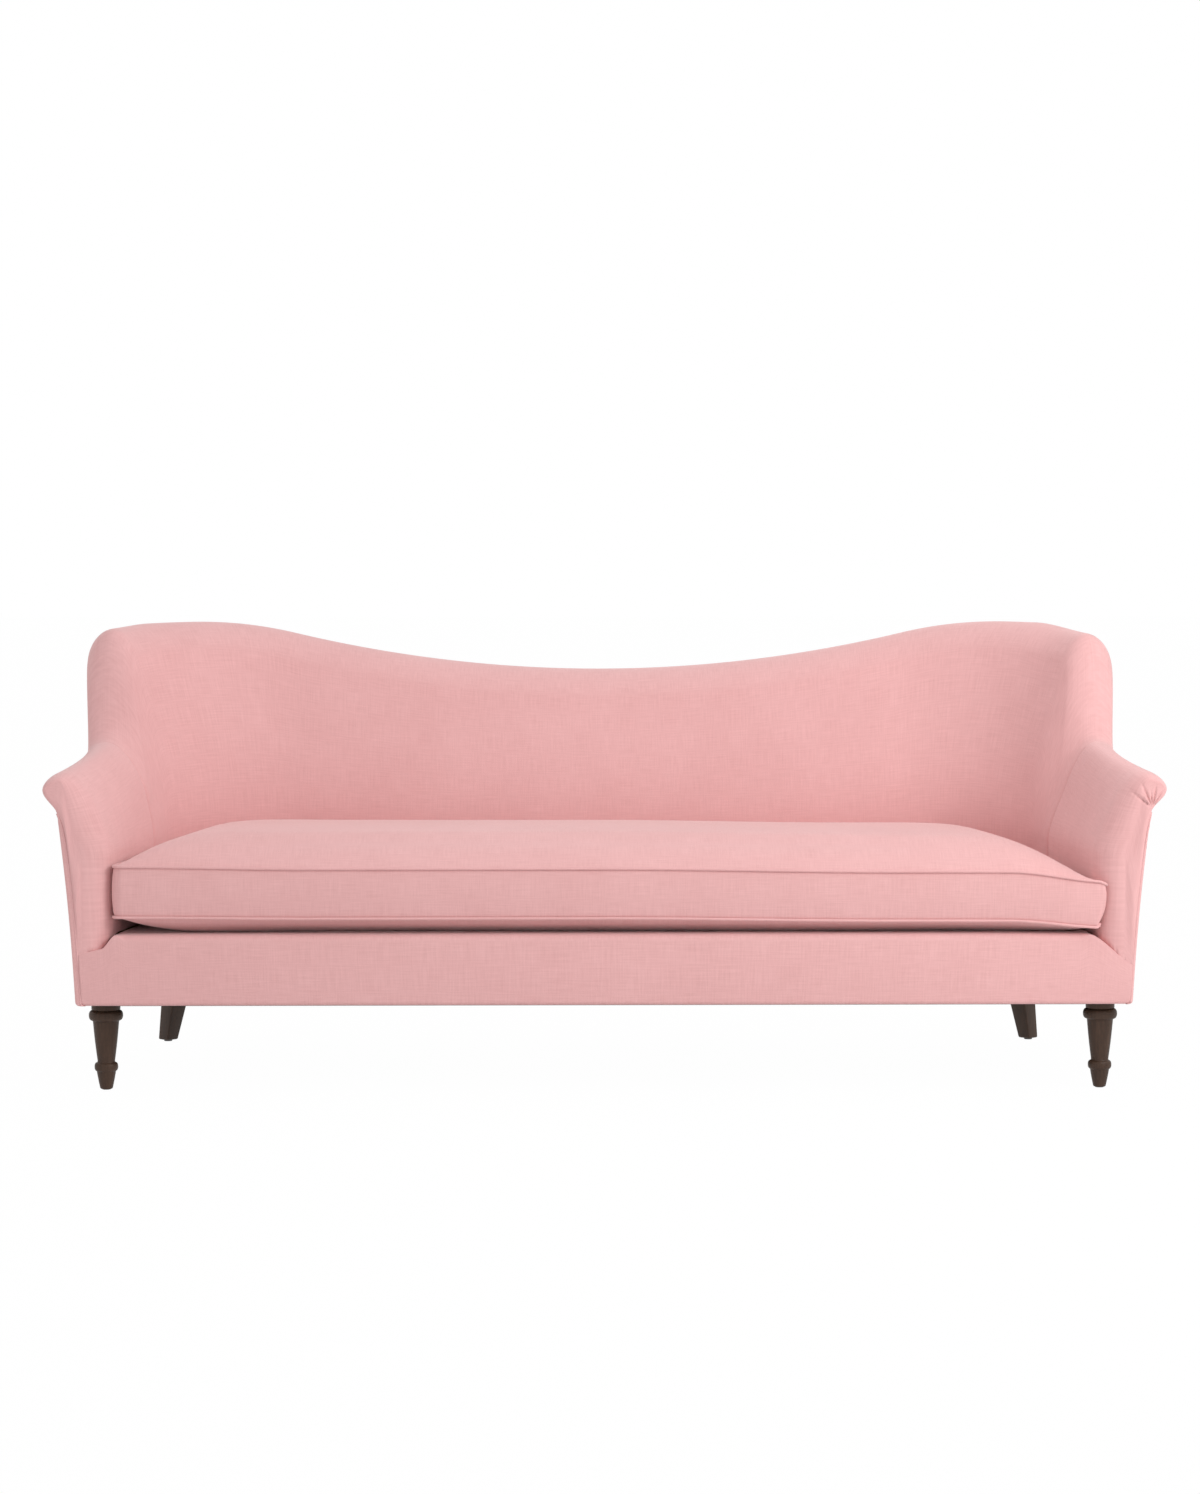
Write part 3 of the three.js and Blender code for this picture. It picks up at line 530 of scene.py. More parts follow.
class Socket:
    """Shader output that takes part in arithmetic: each operator adds its Math node."""

    def __init__(self, shader: "Shader", link: bpy.types.NodeSocket) -> None:
        """Wraps an output of a shader's node."""
        self.shader = shader
        self.link = link

    def math(self, operation: str, *others: Any) -> "Socket":
        """Result of a Math node on this output and others.

        Args:
            operation: the node's operation.
            others: the node's other values, numbers or outputs.

        Returns:
            The node's output.
        """
        sockets = {place: value for place, value in enumerate((self, *others))}
        node = self.shader.add("ShaderNodeMath", {"operation": operation}, sockets)
        return Socket(self.shader, node.outputs[0])

    def __add__(self, other: Any) -> "Socket":
        """Sum."""
        return self.math("ADD", other)

    def __mul__(self, other: Any) -> "Socket":
        """Product."""
        return self.math("MULTIPLY", other)

    def __sub__(self, other: Any) -> "Socket":
        """Difference."""
        return self.math("SUBTRACT", other)

    def __rsub__(self, other: float) -> "Socket":
        """Difference from a number."""
        return (self * -1) + other

    __radd__ = __add__
    __rmul__ = __mul__

    def sine(self) -> "Socket":
        """Sine."""
        return self.math("SINE")

    def held(self) -> "Socket":
        """Value held between 0 and 1."""
        return self.math("MAXIMUM", 0.0).math("MINIMUM", 1.0)


class Shader:
    """Node tree of one material or world."""

    def __init__(self, owner: bpy.types.Material | bpy.types.World) -> None:
        """Starts with an empty tree."""
        self.owner = owner
        owner.use_nodes = True
        owner.node_tree.nodes.clear()

    def add(self, kind: str, settings: dict[str, Any] | None = None,
            sockets: dict[Any, Any] | None = None) -> bpy.types.Node:
        """Adds a node.

        Args:
            kind: the node's type.
            settings: what is set on the node first.
            sockets: values or outputs for its inputs, by name or number.

        Returns:
            The node.
        """
        node = self.owner.node_tree.nodes.new(kind)
        for word, value in (settings or {}).items():
            setattr(node, word, value)
        for word, value in (sockets or {}).items():
            target = node.inputs[word]
            if isinstance(value, Socket):
                self.owner.node_tree.links.new(value.link, target)
            elif isinstance(value, bpy.types.NodeSocket):
                self.owner.node_tree.links.new(value, target)
            else:
                target.default_value = value
        return node

    def noise(self, vector: bpy.types.NodeSocket, scale: Triple, detail: float, roughness: float) -> Socket:
        """Noise on a vector that is first stretched.

        Args:
            vector: coordinates in metres.
            scale: how many grains there are to a metre, each way.
            detail: number of finer layers.
            roughness: weight of the finer layers.

        Returns:
            The noise, about 0.5 in the middle.
        """
        stretched = self.add("ShaderNodeMapping", {}, {"Vector": vector, "Scale": scale}).outputs[0]
        sockets = {"Vector": stretched, "Scale": 1.0, "Detail": detail, "Roughness": roughness}
        return Socket(self, self.add("ShaderNodeTexNoise", {}, sockets).outputs[0])

    def blend(self, share: Socket, dark: Colour, light: Colour) -> bpy.types.NodeSocket:
        """Colour between two others."""
        factor, first, second = 0, 6, 7
        sockets = {factor: share, first: dark, second: light}
        return self.add("ShaderNodeMix", {"data_type": "RGBA"}, sockets).outputs[2]

    def finish(self, surface: bpy.types.NodeSocket,
               kind: str = "ShaderNodeOutputMaterial") -> bpy.types.Material | bpy.types.World:
        """Ends the tree with its output.

        Args:
            surface: what the tree gives.
            kind: type of the output node.

        Returns:
            The material or world.
        """
        self.add(kind, {}, {"Surface": surface})
        return self.owner


@dataclass(frozen=True)
class WovenCloth:
    """Plain-weave cloth with a soft nap. The threads follow the piece's own cloth map, which is in metres."""

    name: str
    light: Colour
    dark: Colour
    thread: float = 0.0011
    streak_long: float = 20
    streak_short: float = 420
    streak_roughness: float = 0.6
    slub: float = 1.2
    patch_scale: float = 7
    patch_roughness: float = 0.55
    mottle: float = 0.5
    weave_share: float = 0.12
    streak_relief: float = 1.2
    relief_strength: float = 0.35
    relief_height: float = 0.0004
    roughness: float = 0.88
    specular: float = 0.18
    nap: float = 0.55
    nap_roughness: float = 0.42
    nap_tint: Colour = (1.0, 0.86, 0.85, 1.0)
    mapped: bool = True

    def material(self) -> bpy.types.Material:
        """Makes the material."""
        shader = Shader(bpy.data.materials.new(self.name))
        place = shader.add("ShaderNodeTexCoord").outputs["Object"]
        cloth = shader.add("ShaderNodeUVMap", {"uv_map": "cloth"}).outputs[0] if self.mapped else place
        long, short = self.streak_long, self.streak_short
        across = shader.noise(cloth, (long, short, long), 3.0, self.streak_roughness)
        down = shader.noise(cloth, (short, long, long), 3.0, self.streak_roughness)
        patches = shader.noise(place, (self.patch_scale,) * 3, 3.0, self.patch_roughness)
        parts = shader.add("ShaderNodeSeparateXYZ", {}, {"Vector": cloth})
        turns = 2 * math.pi / self.thread
        weft, warp = ((Socket(shader, part) * turns).sine() for part in parts.outputs[:2])
        weave = weft * warp
        streaks = (across + down - 1.0) * self.slub
        share = (streaks + (patches - 0.5) * self.mottle + weave * self.weave_share + 0.5).held()
        relief = weave * 0.5 + streaks * self.streak_relief
        bump = shader.add("ShaderNodeBump", {}, {
            "Strength": self.relief_strength, "Distance": self.relief_height, "Height": relief,
        })
        surface = shader.add("ShaderNodeBsdfPrincipled", {}, {
            "Base Color": shader.blend(share, self.dark, self.light),
            "Roughness": self.roughness,
            "Specular IOR Level": self.specular,
            "Sheen Weight": self.nap,
            "Sheen Roughness": self.nap_roughness,
            "Sheen Tint": self.nap_tint,
            "Normal": bump.outputs[0],
        })
        return shader.finish(surface.outputs[0])


@dataclass(frozen=True)
class StainedWood:
    """Turned or sawn wood under a stain, with its grain along one axis."""

    name: str
    light: Colour
    dark: Colour
    roughness: float = 0.5
    coat: float = 0.03
    coat_roughness: float = 0.35
    specular: float = 0.25
    grain_scale: Triple = (170, 170, 7)
    grain_roughness: float = 0.62
    grain_weight: float = 1.5
    grain_gloss: float = 0.22
    fibre_scale: float = 3.5
    patch_scale: Triple = (14, 14, 9)
    patch_weight: float = 0.9
    relief_strength: float = 0.25
    relief_height: float = 0.0005

    def material(self) -> bpy.types.Material:
        """Makes the material."""
        shader = Shader(bpy.data.materials.new(self.name))
        place = shader.add("ShaderNodeTexCoord").outputs["Object"]
        fine_scale = tuple(self.fibre_scale * scale for scale in self.grain_scale)
        grain = shader.noise(place, self.grain_scale, 4.0, self.grain_roughness)
        fibres = shader.noise(place, fine_scale, 2.0, 0.5)
        patches = shader.noise(place, self.patch_scale, 2.0, 0.5)
        share = (grain - 0.5) * self.grain_weight + (fibres - 0.5) * 0.5
        share = (share + (patches - 0.5) * self.patch_weight + 0.5).held()
        bump = shader.add("ShaderNodeBump", {}, {
            "Strength": self.relief_strength, "Distance": self.relief_height, "Height": grain + fibres * 0.5,
        })
        surface = shader.add("ShaderNodeBsdfPrincipled", {}, {
            "Base Color": shader.blend(share, self.dark, self.light),
            "Roughness": (grain - 0.5) * self.grain_gloss + self.roughness,
            "Specular IOR Level": self.specular,
            "Coat Weight": self.coat,
            "Coat Roughness": self.coat_roughness,
            "Normal": bump.outputs[0],
        })
        return shader.finish(surface.outputs[0])


@dataclass(frozen=True)
class DullSteel:
    """Drawn steel with a dull, slightly mottled skin."""

    name: str
    colour: Colour
    shadow: Colour
    roughness: float = 0.38
    roughness_spread: float = 0.3
    speck_scale: float = 160
    speck_roughness: float = 0.6

    def material(self) -> bpy.types.Material:
        """Makes the material."""
        shader = Shader(bpy.data.materials.new(self.name))
        place = shader.add("ShaderNodeTexCoord").outputs["Object"]
        specks = shader.noise(place, (self.speck_scale,) * 3, 3.0, self.speck_roughness)
        surface = shader.add("ShaderNodeBsdfPrincipled", {}, {
            "Base Color": shader.blend(specks, self.shadow, self.colour),
            "Metallic": 1.0,
            "Roughness": (specks - 0.5) * self.roughness_spread + self.roughness,
        })
        return shader.finish(surface.outputs[0])


@dataclass(frozen=True)
class StudioWhite:
    """Floor that the camera sees as white paper, with a trace of the object's shadow."""

    name: str = "studio_white"
    shadow_share: float = 0.012
    grey: float = 0.86

    def material(self) -> bpy.types.Material:
        """Makes the material."""
        shader = Shader(bpy.data.materials.new(self.name))
        rays = shader.add("ShaderNodeLightPath").outputs
        seen = Socket(shader, rays["Is Camera Ray"]) + Socket(shader, rays["Is Glossy Ray"])
        seen = (seen + Socket(shader, rays["Is Transmission Ray"])).held() * (1 - self.shadow_share)
        matt = shader.add("ShaderNodeBsdfDiffuse", {}, {"Color": (self.grey, self.grey, self.grey, 1)})
        paper = shader.add("ShaderNodeEmission", {}, {"Color": WHITE, "Strength": 1.0})
        both = shader.add("ShaderNodeMixShader", {}, {0: seen, 1: matt.outputs[0], 2: paper.outputs[0]})
        return shader.finish(both.outputs[0])


@dataclass(frozen=True)
class Finishes:
    """The sofa's materials, by what they are."""

    cover: bpy.types.Material
    lining: bpy.types.Material
    timber: bpy.types.Material
    webbing: bpy.types.Material
    spring: bpy.types.Material
    leg: bpy.types.Material
    glide: bpy.types.Material

    @classmethod
    def make(cls) -> "Finishes":
        """Makes all of them."""
        return cls(
            cover=WovenCloth("rose_cover", (0.815, 0.473, 0.470, 1), (0.69, 0.367, 0.363, 1)).material(),
            lining=WovenCloth("black_lining", (0.035, 0.034, 0.034, 1), (0.018, 0.018, 0.018, 1), nap=0.1,
                              nap_tint=WHITE, mapped=False).material(),
            timber=StainedWood("sawn_timber", (0.66, 0.47, 0.27, 1), (0.48, 0.31, 0.16, 1), roughness=0.72,
                               coat=0.0, specular=0.3, grain_scale=(9, 120, 120)).material(),
            webbing=WovenCloth("jute_webbing", (0.50, 0.36, 0.19, 1), (0.33, 0.22, 0.10, 1), thread=0.0024,
                               nap=0.2, nap_tint=WHITE, mapped=False).material(),
            spring=DullSteel("spring_steel", (0.36, 0.37, 0.39, 1), (0.24, 0.245, 0.26, 1)).material(),
            leg=StainedWood("walnut_stain", (0.080, 0.044, 0.028, 1), (0.036, 0.019, 0.012, 1)).material(),
            glide=DullSteel("glide_steel", (0.10, 0.10, 0.10, 1), (0.06, 0.06, 0.06, 1),
                            roughness=0.5).material(),
        )


@dataclass(frozen=True)
class Piece:
    """What a new piece is called, moves with, stands for and is made of."""

    name: str
    body: str
    slot: str
    material: bpy.types.Material
    stands_for: tuple[str, ...] = ()
    fill: float | None = None

    def finish(self, shape: bmesh.types.BMesh) -> bpy.types.Object:
        """Turns a shape into the piece and says what it is.

        Args:
            shape: the finished mesh, in its place. It is freed.

        Returns:
            The piece's object.
        """
        for face in shape.faces:
            face.smooth = True
        mesh = bpy.data.meshes.new(self.name)
        shape.to_mesh(mesh)
        shape.free()
        mesh.materials.append(self.material)
        made = bpy.data.objects.new(self.name, mesh)
        bpy.context.scene.collection.objects.link(made)
        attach(made, self.body)
        if self.stands_for:
            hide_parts(*self.stands_for)
        log.info("%s: %d faces, rides on %s", self.name, len(mesh.polygons), self.body)
        return made

    @classmethod
    def covered(cls, name: str, stands_for: str, fill: float, finishes: Finishes,
                body: str = "frame") -> "Piece":
        """Padded piece in the sofa's cover.

        Args:
            name: the piece's name.
            stands_for: the CAD node that it shows.
            fill: how full the pad is.
            finishes: the sofa's materials.
            body: the body that it rides on.

        Returns:
            The piece, before its shape is given.
        """
        return cls(name, body, "pink_fabric", finishes.cover, (stands_for,), fill)


def moved_grid(rows: int, columns: int, place: Place, size: tuple[float, float],
               shape: bmesh.types.BMesh | None = None, spread: Spread = float) -> bmesh.types.BMesh:
    """Grid whose points are moved to a surface, with a cloth map in metres.

    Args:
        rows: number of faces along the second share.
        columns: number of faces along the first share.
        place: gives a point's place from its two shares.
        size: length of the cloth along each share.
        shape: mesh that the grid is added to.
        spread: gives the share of the cloth's length that lies before a column.

    Returns:
        The mesh.
    """
    shape = shape or bmesh.new()
    layer = shape.loops.layers.uv.get("cloth") or shape.loops.layers.uv.new("cloth")
    made = bmesh.ops.create_grid(shape, x_segments=columns, y_segments=rows, size=0.5, calc_uvs=False)
    faces = {face for vertex in made["verts"] for face in vertex.link_faces}
    for face in faces:
        for loop in face.loops:
            loop[layer].uv = (spread(loop.vert.co.x + 0.5) * size[0], (loop.vert.co.y + 0.5) * size[1])
    for vertex in made["verts"]:
        vertex.co = place(vertex.co.x + 0.5, vertex.co.y + 0.5)
    return shape


def face_outwards(shape: bmesh.types.BMesh, probe: Vector, way: Vector) -> None:
    """Turns an open shell so that its face nearest to a probe looks a given way."""
    shape.normal_update()
    nearest = min(shape.faces, key=lambda face: (face.calc_center_median() - probe).length_squared)
    if nearest.normal.dot(way) < 0:
        bmesh.ops.reverse_faces(shape, faces=list(shape.faces))


def weld(shape: bmesh.types.BMesh) -> None:
    """Joins points that lie on each other."""
    bmesh.ops.remove_doubles(shape, verts=list(shape.verts), dist=WELD)


def cut_block(cuts: tuple[int, ...]) -> bmesh.types.BMesh:
    """Block of unit size with a cloth map.

    Args:
        cuts: number of cuts along X, along Y and, if it has any, along Z.

    Returns:
        The block's mesh.
    """
    shape = bmesh.new()
    shape.loops.layers.uv.new("cloth")
    bmesh.ops.create_cube(shape, size=1.0)
    for axis, count in enumerate(cuts):
        along = [
            edge for edge in shape.edges
            if abs((edge.verts[0].co - edge.verts[1].co).normalized()[axis]) > ALONG_AXIS
        ]
        bmesh.ops.subdivide_edges(shape, edges=along, cuts=count, use_grid_fill=True)
    return shape


def round_edges(shape: bmesh.types.BMesh, edges: list[bmesh.types.BMEdge], size: float,
                segments: int) -> None:
    """Rounds some edges of a mesh."""
    bmesh.ops.bevel(
        shape, geom=edges, offset=size, segments=segments, affect="EDGES", profile=0.5, material=-1,
    )


def thicken(made: bpy.types.Object, thickness: float) -> None:
    """Gives an open shell its thickness, inwards."""
    wall = made.modifiers.new("wall", "SOLIDIFY")
    wall.thickness = thickness
    wall.offset = -1
    wall.use_even_offset = False


def tube(path: list[Vector], radius: float, sides: int, closed: bool, reference: Vector) -> bmesh.types.BMesh:
    """Round cord along a row of points.

    Args:
        path: the cord's middle line.
        radius: the cord's radius.
        sides: number of faces round it.
        closed: whether the cord joins its own start.
        reference: direction that is never along the path.

    Returns:
        The cord's mesh.
    """
    spans = len(path) if closed else len(path) - 1
    lengths = [(path[(i + 1) % len(path)] - path[i]).length for i in range(spans)]

    def place(share: float, round_share: float) -> Vector:
        i = round(share * spans)
        before = path[(i - 1) % len(path)] if closed else path[max(i - 1, 0)]
        after = path[(i + 1) % len(path)] if closed else path[min(i + 1, len(path) - 1)]
        along = (after - before).normalized()
        side = along.cross(reference).normalized()
        rise = side.cross(along)
        angle = 2 * math.pi * round_share
        return path[i % len(path)] + side * (radius * math.cos(angle)) + rise * (radius * math.sin(angle))

    shape = moved_grid(sides, spans, place, (sum(lengths), 2 * math.pi * radius))
    weld(shape)
    if not closed:
        bmesh.ops.holes_fill(shape, edges=[edge for edge in shape.edges if edge.is_boundary], sides=sides)
    bmesh.ops.recalc_face_normals(shape, faces=list(shape.faces))
    return shape


def evenly(points: list[Vector], count: int) -> list[Vector]:
    """Points at even distances along a closed row of points."""
    looped = points + points[:1]
    reach = [0.0]
    for before, after in zip(looped, looped[1:]):
        reach.append(reach[-1] + (after - before).length)
    spaced = []
    span = 0
    for i in range(count):
        goal = reach[-1] * i / count
        while reach[span + 1] < goal:
            span += 1
        share = (goal - reach[span]) / (reach[span + 1] - reach[span])
        spaced.append(looped[span].lerp(looped[span + 1], share))
    return spaced


@dataclass
class PaddedBack:
    """Inside back with its wings, wrapped over the top, and the outside back below its lip."""

    form: SofaForm
    finishes: Finishes
    columns: int = 240
    rows: int = 84
    end_shares: tuple[float, ...] = (0.14, 0.54, 0.74, 0.90, 1.0)
    seam_pull: float = 0.006
    seam_width: float = 0.004
    wall: float = 0.012
    panel_wall: float = 0.008
    hem_round: float = 0.008
    hem_share: float = 0.10
    panel_rows: int = 40
    cloth_height: float = 0.80
    panel_height: float = 0.65
    fill: float = 0.7
    panel_fill: float = 0.3

    def build(self) -> None:
        """Builds both covers."""
        self._inside()
        self._outside()

    def _eased(self, share: float) -> float:
        """Share of the seat line that lies before a column. Columns are closer together near the seams."""
        return share - CROWDING * math.sin(2 * math.pi * share) / (2 * math.pi)

    def _run(self, share: float) -> tuple[float, Side]:
        """Distance along the seat line from the nearer arm."""
        run = 2 * self.form.half_run * self._eased(share)
        if run <= self.form.half_run:
            return run, Side.RIGHT
        return 2 * self.form.half_run - run, Side.LEFT

    def _spot(self, station: Station, side: Side, point: Vector) -> Vector:
        """Place of a section's point at a station."""
        x = station.x + station.along.x * point.x
        return self.form.spot(side.value * x, station.depth + station.along.y * point.x, point.y)

    def _inside(self) -> None:
        """Cover of the inside back."""
        profiles: dict[float, tuple[Station, Side, Profile]] = {}

        def place(share: float, rise: float) -> Vector:
            if share not in profiles:
                run, side = self._run(share)
                station = self.form.station(run)
                deep = self.seam_pull * math.exp(-run / self.seam_width)
                section = self.form.wing_section(station, side)
                skin = self.form.skin(section, self.end_shares, self.form.deck_height, deep)
                profiles[share] = (station, side, skin)
            station, side, skin = profiles[share]
            return self._spot(station, side, skin.at(rise))

        cloth = (2 * self.form.half_run, self.cloth_height)
        shape = moved_grid(self.rows, self.columns, place, cloth, spread=self._eased)
        face_outwards(shape, self.form.spot(0, self.form.seat_depth, 0.6), Vector((0, -1, 0)))
        piece = Piece.covered("inside_back_cover", "inside_back", self.fill, self.finishes)
        thicken(piece.finish(shape), self.wall)

    def _outside(self) -> None:
        """Cover of the outside back, with its lower edge turned under."""
        sections: dict[float, tuple[Station, Side, Section]] = {}

        def place(share: float, rise: float) -> Vector:
            if share not in sections:
                run, side = self._run(share)
                station = self.form.station(run)
                sections[share] = (station, side, self.form.wing_section(station, side))
            station, side, section = sections[share]

            def face(height: float) -> float:
                return self.form.outer_face(section, height)

            point = hemmed(face, section, rise, self.hem_round, self.hem_share)
            return self._spot(station, side, point)

        cloth = (2 * self.form.half_run, self.panel_height)
        shape = moved_grid(self.panel_rows, self.columns, place, cloth, spread=self._eased)
        face_outwards(shape, self.form.spot(0, self.form.base_back, 0.5), Vector((0, 1, 0)))
        piece = Piece.covered("outside_back_cover", "outside_back", self.panel_fill, self.finishes)
        thicken(piece.finish(shape), self.panel_wall)


def hemmed(face: Callable[[float], float], section: Section, rise: float, hem_round: float,
           hem_share: float) -> Vector:
    """Point of an outer panel: its lower edge turns in, and its upper edge tucks under the roll.

    Args:
        face: distance of the panel's face from the seat line, at a height.
        section: section that the panel stands in.
        rise: share of the panel's rows, from its lower edge.
        hem_round: radius of the lower edge.
        hem_share: share of the rows that the lower edge takes.

    Returns:
        The point, outwards from the seat line and up from the floor.
    """
    gap, tuck = 0.001, 0.004
    tuck_start, tuck_run = 0.965, 0.035
    low = section.base.y
    if rise < hem_share:
        angle = (rise / hem_share) * math.pi / 2
        height = low + hem_round * (1 - math.cos(angle))
        return pair(face(height) - hem_round * (1 - math.sin(angle)), height)
    share = (rise - hem_share) / (1 - hem_share)
    height = mix(low + hem_round, section.under.y - gap, share)
    return pair(face(height) - tuck * smooth((share - tuck_start) / tuck_run), height)


@dataclass
class PaddedArm:
    """Flared arm: its pad over the roll and the front, the outer panel, and the welt between them."""

    form: SofaForm
    finishes: Finishes
    side: Side
    rows: int = 240
    columns: int = 96
    end_shares: tuple[float, ...] = (0.14, 0.26, 0.46, 0.74, 1.0)
    nose_share: float = 0.38
    tip_share: float = 0.74
    front_columns: int = 36
    crown_share: float = 0.040
    crown_rows: int = 22
    seam_pull: float = 0.008
    seam_width: float = 0.003
    foot_drop: float = 0.075
    lip: float = 0.006
    lip_sink: float = 0.0005
    seam_snap: float = 0.010
    wall: float = 0.006
    panel_wall: float = 0.008
    panel_round: float = 0.005
    panel_start: float = 0.0006
    hem_round: float = 0.008
    hem_share: float = 0.12
    panel_rows: int = 40
    panel_columns: int = 44
    return_shares: tuple[float, float] = (0.09, 0.22)
    welt_radius: float = 0.0026
    pucker: float = 0.0005
    pleat_start: tuple[float, float] = (0.001, 0.007)
    pleats: tuple[Crease, ...] = (
        Crease(142, 0.072, 0.0026), Crease(114, 0.066, 0.0024), Crease(96, 0.032, 0.0020),
        Crease(80, 0.054, 0.0022), Crease(60, 0.054, 0.0016), Crease(40, 0.040, 0.0016),
    )
    pleat_puff: float = 0.0024
    pleat_gauge: float = 0.0023
    pleat_rise: float = 0.018
    pleat_knot: float = 0.010
    sharp_deg: float = 65
    tip_run: float = 0.005
    tip_weld: float = 0.0008
    edge_power: int = 16
    puff_power: float = 0.7
    panel_power: float = 1.5
    cloth_height: float = 0.46
    front_cloth: tuple[float, float] = (0.08, 0.36)
    panel_height: float = 0.42
    welt_steps: int = 160
    welt_sink: float = 0.8
    welt_out: float = 0.7
    pucker_scale: float = 90
    fill: float = 0.7
    panel_fill: float = 0.3
    welt_fill: float = 0.9

    def build(self) -> None:
        """Builds the pad, the panel and the welt."""
        self._pad()
        self._panel()
        self._welt()

    def _spot(self, depth: float, point: Vector) -> Vector:
        """Place of a section's point at a depth of the arm."""
        x = self.form.seat_half(depth) + point.x
        return self.form.spot(self.side.value * x, depth, point.y)

    def _depth(self, share: float) -> float:
        """Depth of a ring of the pad: close together round the nose and at the seam with the back."""
        if share < self.nose_share:
            return self.form.nose_depth * (1 - math.cos(math.pi / 2 * share / self.nose_share))
        run = (share - self.nose_share) / (1 - self.nose_share)
        eased = run + CROWDING * math.sin(math.pi * run) / math.pi
        return mix(self.form.nose_depth, self.form.arm_depth, eased)

    def _skin(self, depth: float) -> Profile:
        """Skin of the pad at a depth, drawn in at the seam with the back."""
        deep = self.seam_pull * math.exp(-(self.form.arm_depth - depth) / self.seam_width)
        foot = self.form.deck_height - self.foot_drop
        return self.form.skin(self.form.arm_section(depth, self.side), self.end_shares, foot, deep)

    def _seamed(self, depth: float, point: Vector, least_lip: float) -> Vector:
        """Place of a point of the pad, held at the seam with the border and turned in below it.

        Args:
            depth: depth of the point on the arm.
            point: the point, outwards from the seat line and up from the floor.
            least_lip: how far the cover is turned in at least.

        Returns:
            The place.
        """
        form = self.form
        floor = form.seam_height(form.seat_half(depth) + point.x, self.side)
        below = max(0.0, floor - point.y, least_lip)
        fade = 1 - smooth(depth / form.nose_depth)
        height = point.y if point.y > floor + self.seam_snap else floor - min(below, self.lip_sink)
        return self._spot(depth, pair(point.x, height)) + Vector((0, min(below, self.lip) * fade, 0))

    def _seam_x(self, height: float) -> float:
        """Place of the seam between the arm's front and its outer panel, from the seat line."""
        return self.form.arm_face(0, height, self.side) - self.form.panel_inset(self.side)

    def _front_edge(self, share: float) -> Vector:
        """Outer edge of the arm's front, from the seam with the border up to the roll."""
        form = self.form
        high = form.arm_section(0, self.side).under
        low = form.seam_height(form.seat_half(0) + self._seam_x(form.deck_height), self.side)
        height = mix(low, high.y, share)
        return pair(mix(self._seam_x(height), high.x, share**self.edge_power), height)

    def _pad(self) -> None:
        """Pad of the arm with its closed front."""
        form = self.form
        skins: dict[float, tuple[float, Profile]] = {}
        tip_row = round(self.tip_share * self.rows)
        edge_rows = 2 * tip_row - self.rows
        front_skin = self._skin(0)

        def place(share: float, rise: float) -> Vector:
            if share not in skins:
                depth = self._depth(share)
                skins[share] = (depth, self._skin(depth))
            depth, skin = skins[share]
            return self._seamed(depth, skin.at(rise), 0.0)

        def front(across: float, rise: float) -> Vector:
            row = round(rise * tip_row)
            inner = front_skin.at(row / self.rows)
            if row < edge_rows:
                outer = self._front_edge(max(row - 1, 0) / (edge_rows - 1))
            else:
                outer = front_skin.at(1 - (row - edge_rows) / self.rows)
            edge = smooth((tip_row - row) / self.crown_rows) * smooth(row / self.crown_rows)
            crown = self.crown_share * (outer - inner).length * CROWN_PEAK * across**2 * (1 - across) * edge
            return self._seamed(-crown, inner.lerp(outer, across), self.lip if row == 0 else 0.0)

        def spread(share: float) -> float:
            return self._depth(share) / form.arm_depth

        shape = moved_grid(self.rows, self.columns, place, (form.arm_depth, self.cloth_height), spread=spread)
        moved_grid(tip_row, self.front_columns, front, self.front_cloth, shape)
        weld(shape)
        tip = self._spot(0, front_skin.at(self.tip_share))
        crowded = [vertex for vertex in shape.verts if (vertex.co - tip).length < self.tip_run]
        bmesh.ops.remove_doubles(shape, verts=crowded, dist=self.tip_weld)
        bmesh.ops.dissolve_degenerate(shape, dist=WELD, edges=list(shape.edges))
        bmesh.ops.recalc_face_normals(shape, faces=list(shape.faces))
        inward = Vector((-self.side.value, 0, 0))
        face_outwards(shape, form.spot(self.side.value * form.seat_half_seam, 0.2, 0.45), inward)
        if self.side is Side.RIGHT:
            self._pleat(shape)
        word = self.side.word
        made = Piece.covered(f"arm_cover_{word}", f"arm_{word}", self.fill, self.finishes).finish(shape)
        made.data.set_sharp_from_angle(angle=math.radians(self.sharp_deg))
        thicken(made, self.wall)

    def _pleat(self, shape: bmesh.types.BMesh) -> None:
        """Draws the roll's front into pleats that fan out from the end of the welt."""
        start = self._spot(0, self.form.arm_section(0, self.side).under + pair(*self.pleat_start))
        for vertex in shape.verts:
            vertex.co.y -= self._pleat_height(vertex.co - start)

    def _pleat_height(self, offset: Vector) -> float:
        """How far the cover stands forward at a point: puffed between the creases and drawn in along them.

        Args:
            offset: the point's place, counted from the end of the welt.

        Returns:
            The distance towards the front.
        """
        away = math.hypot(offset.x, offset.z)
        angle = math.degrees(math.atan2(offset.z, offset.x))
        if angle < 0:
            return 0.0
        drawn = 0.0
        for crease in self.pleats:
            half = crease.length / 2
            aside = away * math.sin(math.radians(min(abs(angle - crease.angle), 90)))
            fade = smooth(away / self.pleat_knot) * (1 - smooth((away - half) / half))
            drawn = max(drawn, crease.depth * math.exp(-((aside / self.pleat_gauge) ** 2)) * fade)
        puff = 0.0
        for high, low in zip(self.pleats, self.pleats[1:]):
            if low.angle < angle < high.angle:
                middle = math.sin(math.pi * (angle - low.angle) / (high.angle - low.angle)) ** self.puff_power
                length = (high.length + low.length) / 2
                grow = smooth(away / self.pleat_rise) * (1 - smooth((away - length / 3) / (length * 2 / 3)))
                puff = self.pleat_puff * middle * grow
        return (puff - drawn) * (1 - smooth(offset.y / self.form.nose_depth))

